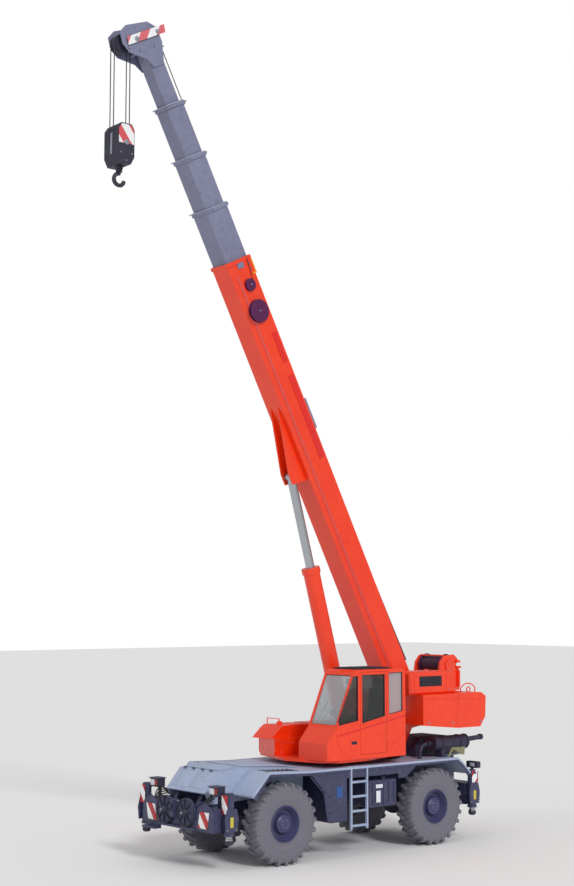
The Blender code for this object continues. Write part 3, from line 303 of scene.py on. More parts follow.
# ---------------------------------------------------------------- shapes
class Shape:
    """One piece's mesh while it is put together from bevelled, turned and bent parts."""

    def __init__(self, place: Matrix = VEHICLE) -> None:
        """Start empty, in a frame of reference."""
        self.mesh = bmesh.new()
        self.place = place.copy()
        self.finishes: list[Finish] = []
        self.index = 0

    def use(self, finish: Finish) -> "Shape":
        """Give the parts that follow this finish."""
        if finish not in self.finishes:
            self.finishes.append(finish)
        self.index = self.finishes.index(finish)
        return self

    def keep(self, part: bmesh.types.BMesh, turn: Matrix | None = None) -> "Shape":
        """Add a finished part to the piece.

        Args:
            part: the part's own mesh, which is used up.
            turn: where the part goes in the piece's frame.

        Returns:
            The piece itself.
        """
        matrix = self.place @ (turn or Matrix.Identity(4))
        bmesh.ops.transform(part, matrix=matrix, verts=part.verts)
        bmesh.ops.recalc_face_normals(part, faces=part.faces)
        for face in part.faces:
            face.material_index = self.index
        mesh = bpy.data.meshes.new("part")
        part.to_mesh(mesh)
        part.free()
        self.mesh.from_mesh(mesh)
        bpy.data.meshes.remove(mesh)
        return self

    def block(self, low: Point, high: Point, bevel: float = 0.004, segments: int = 2,
              turn: Matrix | None = None) -> "Shape":
        """A block between two corners with rounded edges."""
        part = bmesh.new()
        bmesh.ops.create_cube(part, size=1.0)
        first, last = Vector(low), Vector(high)
        bmesh.ops.scale(part, vec=last - first, verts=part.verts)
        bmesh.ops.translate(part, vec=(first + last) / 2, verts=part.verts)
        least = min(last - first)
        if bevel:
            bmesh.ops.bevel(part, geom=part.edges[:], offset=min(bevel, 0.45 * least), segments=segments,
                            affect="EDGES", profile=0.5, material=-1)
        return self.keep(part, turn)

    def bar(self, start: Point, end: Point, radius: float, segments: int = 16,
            end_radius: float | None = None, bevel: float = 0.0) -> "Shape":
        """A round bar, cone or, with six sides, a hexagon from one point to another."""
        part = bmesh.new()
        run = Vector(end) - Vector(start)
        bmesh.ops.create_cone(part, cap_ends=True, segments=segments, radius1=radius,
                              radius2=radius if end_radius is None else end_radius, depth=run.length)
        if bevel:
            rims = [edge for edge in part.edges if abs(edge.verts[0].co.z - edge.verts[1].co.z) < 1e-6]
            bmesh.ops.bevel(part, geom=rims, offset=bevel, segments=2, affect="EDGES", profile=0.5,
                            material=-1)
        turn = Matrix.Translation((Vector(start) + Vector(end)) / 2) @ run.to_track_quat("Z",
                "Y").to_matrix().to_4x4()
        return self.keep(part, turn)

    def plate(self, facing: Facing, outline: Outline, span: tuple[float, float], bevel: float = 0.002,
              turn: Matrix | None = None) -> "Shape":
        """A flat outline given a thickness from span[0] to span[1] across its plane."""
        part = bmesh.new()
        corners = [part.verts.new((across, up, span[0])) for across, up in outline]
        face = part.faces.new(corners)
        grown = bmesh.ops.extrude_face_region(part, geom=[face])["geom"]
        raised = [item for item in grown if isinstance(item, bmesh.types.BMVert)]
        bmesh.ops.translate(part, vec=(0, 0, span[1] - span[0]), verts=raised)
        bmesh.ops.transform(part, matrix=facing.value, verts=part.verts)
        if bevel:
            bmesh.ops.recalc_face_normals(part, faces=part.faces)
            bmesh.ops.bevel(part, geom=part.edges[:], offset=bevel, segments=1, affect="EDGES", profile=0.5,
                            material=-1)
        return self.keep(part, turn)

    def lathe(self, axis: Axis, centre: Point, profile: Outline, steps: int = 48,
              closed: bool = False) -> "Shape":
        """A turned part.

        Args:
            axis: the direction of the axis.
            centre: a point on it.
            profile: distance along the axis and radius, point by point.
            steps: how many flats the turn has.
            closed: whether the profile's last point joins its first.

        Returns:
            The piece itself.
        """
        part = bmesh.new()
        points = [part.verts.new((radius, 0, along)) for along, radius in profile]
        pairs = list(zip(points, points[1:])) + ([(points[-1], points[0])] if closed else [])
        edges = [part.edges.new(pair) for pair in pairs]
        bmesh.ops.spin(part, geom=points + edges, cent=(0, 0, 0), axis=(0, 0, 1), angle=2 * pi,
                       steps=steps, use_merge=True)
        bmesh.ops.remove_doubles(part, verts=part.verts, dist=1e-5)
        return self.keep(part, Matrix.Translation(centre) @ axis.value)

    def wire(self, points: list[Point], radius: float, closed: bool = False, smooth: bool = True,
             sides: int = 2) -> "Shape":
        """A rod, hose or rope bent through points, which it rounds off where it is smooth."""
        curve = bpy.data.curves.new("route", "CURVE")
        curve.dimensions = "3D"
        curve.bevel_depth = radius
        curve.bevel_resolution = sides
        curve.use_fill_caps = not closed
        curve.resolution_u = 6
        spline = curve.splines.new("BEZIER" if smooth else "POLY")
        spline.use_cyclic_u = closed
        if smooth:
            spline.bezier_points.add(len(points) - 1)
            for knot, place in zip(spline.bezier_points, points):
                knot.co = place
                knot.handle_left_type = knot.handle_right_type = "AUTO"
        else:
            spline.points.add(len(points) - 1)
            for knot, place in zip(spline.points, points):
                knot.co = (*place, 1)
        carrier = bpy.data.objects.new("route", curve)
        bpy.context.scene.collection.objects.link(carrier)
        bpy.context.view_layer.update()
        solid = bpy.data.meshes.new_from_object(carrier.evaluated_get(bpy.context.evaluated_depsgraph_get()))
        bpy.data.objects.remove(carrier)
        bpy.data.curves.remove(curve)
        part = bmesh.new()
        part.from_mesh(solid)
        bpy.data.meshes.remove(solid)
        bmesh.ops.remove_doubles(part, verts=part.verts, dist=1e-5)
        return self.keep(part)

    def bolt(self, place: Point, outward: Point, size: float = 0.012) -> "Shape":
        """A hexagon head on its washer."""
        foot, way = Vector(place), Vector(outward)
        self.bar(tuple(foot), tuple(foot + way * size * 0.25), size * 1.25, 12)
        return self.bar(tuple(foot), tuple(foot + way * size * 0.9), size, 6)

    def done(self, name: str, body: str, slot: str, *stands_for: str) -> bpy.types.Object:
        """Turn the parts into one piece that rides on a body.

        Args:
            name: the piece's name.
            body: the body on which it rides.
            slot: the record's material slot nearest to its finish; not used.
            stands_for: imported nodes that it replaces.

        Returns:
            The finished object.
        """
        mesh = bpy.data.meshes.new(name)
        self.mesh.to_mesh(mesh)
        self.mesh.free()
        for finish in self.finishes:
            mesh.materials.append(finish.material())
        mesh.shade_smooth()
        mesh.set_sharp_from_angle(angle=radians(34))
        made = bpy.data.objects.new(name, mesh)
        bpy.context.scene.collection.objects.link(made)
        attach(made, body)
        if stands_for:
            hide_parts(*stands_for)
        LOG.info("%s: %d faces on %s", name, len(mesh.polygons), body)
        return made


def mirror_point(point: Point, side: int) -> Point:
    """A point on the vehicle's left, or its twin on the right."""
    return (point[0], side * point[1], point[2])


def span_of(first: float, second: float) -> tuple[float, float]:
    """Two values in rising order."""
    return (min(first, second), max(first, second))


# ---------------------------------------------------------------- carrier
@dataclass
class Wheel:
    """One lugged tyre on its rim, modelled about the wheel's own centre."""

    corner: str
    side: int
    radius: float = 0.745
    half_width: float = 0.20
    rim_radius: float = 0.336
    lug_height: float = 0.042
    lugs: int = 24
    stud_circle: float = 0.158
    cover_radius: float = 0.118

    @property
    def place(self) -> Matrix:
        """The wheel's centre in the row's frame, its outer face towards +Y."""
        turn = Matrix.Identity(4) if self.side > 0 else Matrix.Rotation(pi, 4, "Z")
        return Matrix.Translation(middle(f"tyre_{self.corner}")) @ turn

    def tyre(self) -> None:
        """Carcass with a ribbed sidewall, and two rows of slanting lugs that meet near the middle."""
        half, crown = self.half_width, self.radius - self.lug_height
        wall = [(half - 0.035, self.rim_radius), (half - 0.024, self.rim_radius + 0.03),
                (half - 0.030, self.rim_radius + 0.05), (half - 0.012, self.rim_radius + 0.10),
                (half - 0.002, self.rim_radius + 0.17), (half - 0.006, self.rim_radius + 0.18),
                (half, self.rim_radius + 0.20), (half - 0.004, crown - 0.08), (half - 0.022, crown - 0.025),
                (half - 0.060, crown)]
        profile = wall + [(0.0, crown + 0.008)] + [(-along, radius) for along, radius in reversed(wall)]
        shape = Shape(self.place).use(RUBBER).lathe(Axis.Y, (0, 0, 0), tuple(profile), 72, closed=True)
        for row in (1, -1):
            for i in range(self.lugs):
                self.lug(shape, row, 2 * pi * (i + (0.5 if row > 0 else 0.0)) / self.lugs)
        shape.done(f"tyre_{self.corner}_tread", f"wheel_{self.corner}", "tyre_rubber", f"tyre_{self.corner}")

    def lug(self, shape: Shape, row: int, angle: float) -> None:
        """One lug: a slanting bar across half the tread and its foot on the shoulder."""
        crown = self.radius - self.lug_height
        turn = Matrix.Rotation(angle, 4, "Y")
        slant = Matrix.Rotation(row * radians(24), 4, "Z")
        low, high = span_of(row * 0.012, row * (self.half_width - 0.012))
        shape.block((-0.036, low, crown - 0.02), (0.036, high, self.radius - 0.004), 0.008, 1, turn @ slant)
        low, high = span_of(row * (self.half_width - 0.035), row * (self.half_width + 0.004))
        lean = Matrix.Translation((-0.075, 0, 0))
        shape.block((-0.034, low, crown - 0.105), (0.034, high, self.radius - 0.022), 0.010, 1, turn @ lean)

    def rim(self) -> None:
        """Lip rings, studs, hub cover with its bolts, and the valve."""
        shape = Shape(self.place).use(WHEEL_PAINT)
        lip = self.half_width - 0.035
        for along, radius, thick in ((lip, self.rim_radius - 0.012, 0.014),
                (lip - 0.03, self.rim_radius - 0.05, 0.008),
                                     (0.062, 0.20, 0.010)):
            ring = [(along + thick * cos(i * pi / 4), radius + thick * sin(i * pi / 4)) for i in range(8)]
            shape.lathe(Axis.Y, (0, 0, 0), tuple(ring), 48, closed=True)
        cover = ((0.149, 0.0), (0.172, 0.0), (0.172, self.cover_radius - 0.03),
                (0.164, self.cover_radius - 0.012),
                 (0.149, self.cover_radius))
        shape.lathe(Axis.Y, (0, 0, 0), cover, 36)
        shape.use(ZINC)
        for i in range(12):
            turn = 2 * pi * i / 12
            shape.bolt((self.stud_circle * cos(turn), 0.072, self.stud_circle * sin(turn)), (0, 1, 0), 0.013)
        for i in range(6):
            turn = 2 * pi * i / 6
            shape.bolt((0.075 * cos(turn), 0.170, 0.075 * sin(turn)), (0, 1, 0), 0.008)
        shape.use(PLASTIC).bar((0.25, 0.07, 0.0), (0.262, 0.115, 0.0), 0.007, 8)
        shape.done(f"rim_{self.corner}_trim", f"wheel_{self.corner}", "wheel_paint")

    def build(self) -> None:
        """Make the wheel's pieces."""
        self.tyre()
        self.rim()


@dataclass
class Decking:
    """Fenders, raised front hood, side panels and what is on the deck."""

    half: float = 1.247
    hood_half: float = 0.60
    skirt: float = 0.085
    front_fold: Outline = ((2.735, 1.30), (2.32, 1.70), (1.40, 1.66))
    rear_fold: Outline = ((-1.45, 1.66), (-2.54, 1.66), (-2.68, 1.56), (-2.905, 1.348))

    def skirts(self) -> None:
        """The folded edge below the fenders and the decking, on both sides."""
        shape = Shape().use(SIDE_PAINT)
        line = self.front_fold + self.rear_fold
        under = tuple((along - (0.10 if i == 0 else 0.0) + (0.08 if i == len(line) - 1 else 0.0),
                up - self.skirt)
                      for i, (along, up) in enumerate(line))
        for side in (1, -1):
            shape.plate(Facing.SIDE, line + tuple(reversed(under)),
                        span_of(side * (self.half - 0.014), side * self.half), 0.003)
        shape.use(SECTION_BRIGHT)
        for side in (1, -1):
            edge = [(along, side * (self.half - 0.004), up + 0.004) for along, up in line]
            shape.wire(edge, 0.006, smooth=False)
        shape.done("fender_skirts", "carrier", "dark_paint")

    def hood(self) -> None:
        """The raised hood's side cheeks, its seams, hinges and lids."""
        shape = Shape().use(DECK_PAINT)
        cheek = ((3.28, 1.31), (2.985, 1.685), (2.5, 1.745), (1.0, 1.64), (1.0, 1.20), (3.20, 1.13))
        for side in (1, -1):
            shape.plate(Facing.SIDE, cheek,
                    span_of(side * (self.hood_half - 0.02), side * (self.hood_half - 0.002)))
        slope = Matrix.Translation((3.145, 0, 1.522)) @ Matrix.Rotation(radians(49.3), 4, "Y")
        shape.block((-0.19, -0.50, 0.0), (0.17, -0.03, 0.014), 0.006, 2, slope)
        shape.block((-0.19, 0.03, 0.0), (0.17, 0.50, 0.014), 0.006, 2, slope)
        crown = Matrix.Translation((2.74, 0, 1.733)) @ Matrix.Rotation(radians(6.8), 4, "Y")
        shape.block((-0.19, -0.52, 0.0), (0.19, 0.52, 0.012), 0.005, 2, crown)
        roof = Matrix.Translation((1.85, 0, 1.722)) @ Matrix.Rotation(radians(-3.6), 4, "Y")
        shape.block((-0.60, -0.54, 0.0), (0.58, -0.04, 0.012), 0.005, 2, roof)
        shape.block((-0.60, 0.04, 0.0), (0.58, 0.54, 0.012), 0.005, 2, roof)
        shape.use(DARK_STEEL)
        for across in (-0.40, -0.14, 0.14, 0.40):
            shape.bar((3.02, across - 0.04, 1.715), (3.02, across + 0.04, 1.715), 0.012, 10)
        shape.use(SECTION_BRIGHT)
        for side in (1, -1):
            shape.wire([(3.28, side * self.hood_half, 1.32), (2.985, side * self.hood_half, 1.695),
                        (2.5, side * self.hood_half, 1.757), (1.0, side * self.hood_half, 1.655)], 0.006,
                                smooth=False)
        shape.done("hood_panels", "carrier", "pale_paint")

    def fender_inners(self) -> None:
        """Inner walls of the fenders and the tread strips on top of them."""
        shape = Shape().use(SIDE_PAINT)
        wall = ((2.70, 1.30), (2.31, 1.68), (1.40, 1.64), (1.40, 1.52), (2.22, 1.56), (2.60, 1.22))
        for side in (1, -1):
            shape.plate(Facing.SIDE, wall, span_of(side * 0.63, side * 0.645))
        shape.use(DARK_STEEL)
        for side in (1, -1):
            for i in range(7):
                along = 1.55 + 0.11 * i
                shape.block((along, side * 0.95 - 0.16, 1.664 + 0.0044 * i),
                        (along + 0.04, side * 0.95 + 0.16, 1.676 + 0.0044 * i), 0.003)
        shape.done("fender_inners", "carrier", "dark_paint")

    def side_panels(self) -> None:
        """Dark panels between the wheels, with ribs, catches and blank labels."""
        shape = Shape().use(SIDE_PAINT)
        panel = ((0.44, 0.67), (0.92, 0.70), (1.00, 1.25), (1.34, 1.60), (0.44, 1.60))
        rear = ((-0.90, 1.37), (-1.10, 1.37), (-1.42, 1.60), (-0.90, 1.60))
        for side in (1, -1):
            shape.plate(Facing.SIDE, panel, span_of(side * 1.212, side * 1.228), 0.004)
            shape.plate(Facing.SIDE, rear, span_of(side * 1.212, side * 1.228), 0.004)
            for along in (-0.82, -0.68, -0.54, -0.40, -0.26):
                shape.block((along, min(side * 1.205, side * 1.226), 0.90),
                        (along + 0.035, max(side * 1.205, side * 1.226), 1.33), 0.008)
            shape.block((-0.92, min(side * 1.19, side * 1.235), 1.46),
                    (0.44, max(side * 1.19, side * 1.235), 1.60), 0.006)
            shape.wire([(1.36, side * 1.236, 1.56), (1.02, side * 1.236, 1.22), (0.93, side * 1.236, 0.72)],
                    0.012, smooth=False)
        shape.use(DARK_STEEL)
        for side in (1, -1):
            for up in (0.85, 1.15):
                shape.bolt((0.88, side * 1.228, up), (0, side, 0), 0.014)
            shape.bar(mirror_point((-0.55, 1.15, 1.37), side), mirror_point((-0.55, 1.15, 1.42), side),
                    0.045, 20, bevel=0.006)
        shape.use(LABEL_BLUE).block((0.56, 1.2285, 1.12), (0.70, 1.2325, 1.32), 0.001)
        shape.use(LABEL_WHITE).block((-0.42, 1.2265, 0.95), (-0.31, 1.2300, 1.17), 0.001)
        shape.block((-0.48, 1.2265, 1.22), (-0.30, 1.2300, 1.29), 0.001)
        shape.done("side_panels", "carrier", "dark_paint")

    def fittings(self) -> None:
        """Ladder caps, mirrors' bracket and hoses beside the ladder."""
        shape = Shape().use(DECK_PAINT)
        for side in (1, -1):
            for i in range(4):
                shape.block((-0.05, min(side * 1.205, side * 1.247), 0.572 + 0.27 * i),
                        (0.33, max(side * 1.205, side * 1.247), 0.590 + 0.27 * i), 0.004)
            shape.block((-0.12, min(side * 1.10, side * 1.247), 1.645),
                    (0.42, max(side * 1.10, side * 1.247), 1.672), 0.004)
        shape.use(PLASTIC)
        for side in (1, -1):
            shape.wire([(0.40, side * 1.10, 0.80), (0.20, side * 1.08, 0.74), (-0.10, side * 1.10, 0.82)],
                    0.018)
            shape.wire([(0.40, side * 1.05, 0.95), (0.18, side * 1.02, 0.86), (-0.10, side * 1.05, 0.95)],
                    0.014)
        shape.done("ladder_fittings", "carrier", "pale_paint")

    def build(self) -> None:
        """Make the decking's pieces."""
        self.skirts()
        self.hood()
        self.fender_inners()
        self.side_panels()
        self.fittings()


@dataclass
class Ends:
    """Front and rear ends: float pads, hazard plates, lamps, hoses and outrigger ends."""

    face: float = 3.478
    pad_radius: float = 0.25
    pad_height: float = 1.0

    def float_pads(self) -> None:
        """Two round ribbed pads carried on the front, with the tow hook between."""
        shape = Shape()
        for across in (-0.32, 0.32):
            shape.use(DARK_STEEL)
            base = self.face + 0.062
            rim = [(base + 0.018 * cos(i * pi / 4),
                    self.pad_radius - 0.014 + 0.018 * sin(i * pi / 4)) for i in range(8)]
            shape.lathe(Axis.X, (0, across, self.pad_height), tuple(rim), 40, closed=True)
            shape.lathe(Axis.X, (0, across, self.pad_height),
                    ((base, 0), (base + 0.075, 0), (base + 0.075, 0.045), (base + 0.03, 0.07),
                            (base, 0.085)), 28)
            for i in range(8):
                turn = Matrix.Translation((0, across, self.pad_height)) @ Matrix.Rotation(2 * pi * i / 8, 4,
                        "X")
                shape.block((base - 0.005, -0.008, 0.05), (base + 0.028, 0.008, self.pad_radius - 0.02),
                        0.003, 1, turn)
            shape.use(ZINC).bolt((base + 0.074, across, self.pad_height), (1, 0, 0), 0.02)
        shape.use(DARK_STEEL).wire([(self.face + 0.03, 0, 1.13), (self.face + 0.12, 0, 1.16),
                (self.face + 0.15, 0, 1.08),
                                    (self.face + 0.10, 0, 1.00), (self.face + 0.06, 0, 1.03)], 0.022)
        shape.use(SECTION_BRIGHT).bar((self.face + 0.03, -0.07, 1.18), (self.face + 0.03, 0.07, 1.18),
                0.018, 14)
        shape.done("float_pads", "carrier", "dark_paint")

    def front_frame(self) -> None:
        """The shaped bumper beam, hazard plates, steps and hoses."""
        shape = Shape().use(SIDE_PAINT)
        wing = ((0.56, 0.72), (1.06, 0.72), (1.10, 0.86), (1.06, 1.10), (0.86, 1.22), (0.56, 1.08))
        for side in (1, -1):
            outline = tuple((side * across, up) for across, up in wing)
            shape.plate(Facing.FRONT, outline, (self.face - 0.02, self.face + 0.006), 0.004)
            shape.block((3.20, min(side * 0.55, side * 0.585), 1.10),
                    (3.46, max(side * 0.55, side * 0.585), 1.20), 0.006)
        shape.block((self.face - 0.01, -0.56, 0.70), (self.face + 0.05, 0.56, 0.745), 0.006)
        slant = ((0.64, 0.76), (0.92, 0.76), (0.98, 1.05), (0.70, 1.05))
        shape.use(HAZARD)
        for side in (1, -1):
            shape.plate(Facing.FRONT, tuple((side * across, up) for across, up in slant),
                    (self.face + 0.007, self.face + 0.013), 0.001)
        shape.use(PLASTIC)
        for i in range(4):
            high = 1.20 + 0.03 * i
            shape.wire([(3.15, 0.60 + 0.05 * i, high), (3.32, 0.66 + 0.05 * i, high + 0.03),
                    (3.42, 0.72 + 0.04 * i, 1.13)], 0.013)
            shape.wire([(3.15, -0.60 - 0.05 * i, high), (3.30, -0.68 - 0.05 * i, high + 0.03),
                    (3.40, -0.74 - 0.04 * i, 1.13)], 0.013)
        shape.done("front_frame", "carrier", "dark_paint")

    def lamps(self) -> None:
        """Headlamps and tail lamps: hooded boxes with lenses."""
        shape = Shape()
        for node in ("headlamp_left", "headlamp_right"):
            low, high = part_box(node)
            inner = Vector((low[0] - DATUM_X, low[1], low[2])), Vector((high[0] - DATUM_X, high[1], high[2]))
            face, left, right, top = inner[1].x, inner[0].y + 0.015, inner[1].y - 0.015, inner[1].z
            shape.use(SIDE_PAINT).block((face - 0.19, left - 0.02, top - 0.003),
                    (face + 0.03, right + 0.02, top + 0.012), 0.004)
            half = (left + right) / 2
            shape.use(LENS_CLEAR).block((face, left + 0.01, top - 0.13),
                    (face + 0.012, half + 0.03, top - 0.02), 0.008)
            shape.use(LENS_RED).block((face, half + 0.045, top - 0.13),
                    (face + 0.012, right - 0.005, top - 0.02), 0.008)
        for side in (1, -1):
            shape.use(DARK_STEEL).block((-3.29, min(side * 0.86, side * 1.16), 1.40),
                    (-3.17, max(side * 0.86, side * 1.16), 1.53), 0.012)
            shape.block((-3.25, min(side * 0.95, side * 1.00), 1.10),
                    (-3.20, max(side * 0.95, side * 1.00), 1.41), 0.006)
            shape.use(LENS_RED).block((-3.302, min(side * 0.89, side * 1.13), 1.42),
                    (-3.288, max(side * 0.89, side * 1.13), 1.51), 0.008)
            shape.use(LENS_CLEAR).block((-3.169, min(side * 0.97, side * 1.10), 1.43),
                    (-3.158, max(side * 0.97, side * 1.10), 1.50), 0.006)
        shape.done("lamp_lenses", "carrier", "lamp_plastic")

    def outrigger_end(self, corner: str, end: int, side: int) -> None:
        """An outrigger's end: side plate, label, hazard plate and the jack's gland and foot."""
        low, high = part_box(f"outrigger_beam_{corner}")
        along = (low[0] + high[0]) / 2 - DATUM_X
        top = high[2]
        tube = (along, side * 1.165, 0)
        shape = Shape().use(SIDE_PAINT)
        cover = ((along - 0.13, 0.72), (along + 0.13, 0.72), (along + 0.15, 0.95), (along + 0.11, 1.12),
                (along - 0.11, 1.12), (along - 0.15, 0.95))
        shape.plate(Facing.SIDE, cover, span_of(side * 1.236, side * 1.248), 0.003)
        shape.bar((along, tube[1], top - 0.02), (along, tube[1], top + 0.012), 0.072, 28, bevel=0.006)
        for up in (0.66, 1.10, 1.33):
            shape.lathe(Axis.Z, (along, tube[1], up),
                    ((-0.02, 0.086), (-0.02, 0.096), (0.02, 0.096), (0.02, 0.086)), 32, closed=True)
        shape.use(LABEL_YELLOW).block((along - 0.035, min(side * 1.2485, side * 1.2500), 0.80),
                (along + 0.035, max(side * 1.2485, side * 1.2500), 0.98), 0.0005)
        face = along + end * 0.098
        shape.use(HAZARD).block((min(face, face + end * 0.006), min(side * 1.085, side * 1.245), 1.03),
                                (max(face, face + end * 0.006), max(side * 1.085, side * 1.245), 1.36), 0.002)
        if end < 0:
            shape.use(HAZARD_SIDE).block((along - 0.075, min(side * 1.244, side * 1.250), 1.14),
                    (along + 0.075, max(side * 1.244, side * 1.250), 1.37), 0.001)
        shape.use(ZINC).bolt((along - 0.1, side * 1.248, 0.76), (0, side, 0), 0.012)
        shape.bolt((along + 0.1, side * 1.248, 0.76), (0, side, 0), 0.012)
        shape.done(f"outrigger_end_{corner}", f"beam_{corner}", "dark_paint")
        foot = Shape().use(DARK_STEEL)
        foot.lathe(Axis.Z, (along, tube[1], 0.487),
                ((0.0, 0.0), (0.0, 0.05), (0.02, 0.074), (0.075, 0.080), (0.09, 0.062), (0.09, 0.0)), 28)
        foot.bar((along - 0.085, tube[1], 0.545), (along + 0.085, tube[1], 0.545), 0.010, 10)
        foot.done(f"jack_foot_{corner}", f"jack_{corner}", "polished_rod")

    def build(self) -> None:
        """Make the ends' pieces."""
        self.float_pads()
        self.front_frame()
        self.lamps()
        for corner, end, side in CORNERS:
            self.outrigger_end(corner, end, side)


@dataclass
class EngineBay:
    """Louvres on the engine hood, and the silencer's bands and brackets."""

    silencer_y: float = 0.90
    silencer_z: float = 1.94
    louvres: int = 9

    def build(self) -> None:
        """Make the engine hood's trim and the silencer's."""
        shape = Shape().use(DARK_STEEL)
        for side in (1, -1):
            for i in range(self.louvres):
                along = -3.18 + 0.115 * i
                shape.block((along, min(side * 0.555, side * 0.572), 1.72),
                        (along + 0.07, max(side * 0.555, side * 0.572), 1.90), 0.006)
        shape.use(SIDE_PAINT).block((-3.16, -0.46, 2.0), (-2.20, 0.46, 2.012), 0.005)
        for i in range(10):
            shape.block((-3.10 + 0.09 * i, -0.36, 2.01), (-3.055 + 0.09 * i, 0.36, 2.022), 0.004)
        shape.done("engine_hood_trim", "carrier", "dark_paint")
        shape = Shape().use(SILENCER)
        for along in (-3.07, -2.86, -2.36, -2.15):
            shape.lathe(Axis.X, (along, self.silencer_y, self.silencer_z),
                    ((-0.018, 0.139), (-0.018, 0.150), (0.018, 0.150), (0.018, 0.139)), 36, closed=True)
        shape.lathe(Axis.X, (-3.57, self.silencer_y, 2.0),
                ((-0.02, 0.036), (-0.02, 0.060), (0.05, 0.060), (0.05, 0.036)), 24, closed=True)
        shape.lathe(Axis.X, (-2.02, self.silencer_y, 1.94),
                ((-0.015, 0.044), (-0.015, 0.075), (0.015, 0.075), (0.015, 0.044)), 20, closed=True)
        shape.use(KHAKI)
        stay = ((-2.98, 1.68), (-2.93, 1.68), (-2.66, 1.80), (-2.56, 1.665), (-2.50, 1.665), (-2.62, 1.84),
                (-3.00, 1.84))
        for across in (0.80, 0.99):
            shape.plate(Facing.SIDE, stay, (across, across + 0.012), 0.002)
        shape.done("silencer_trim", "carrier", "silencer_steel")


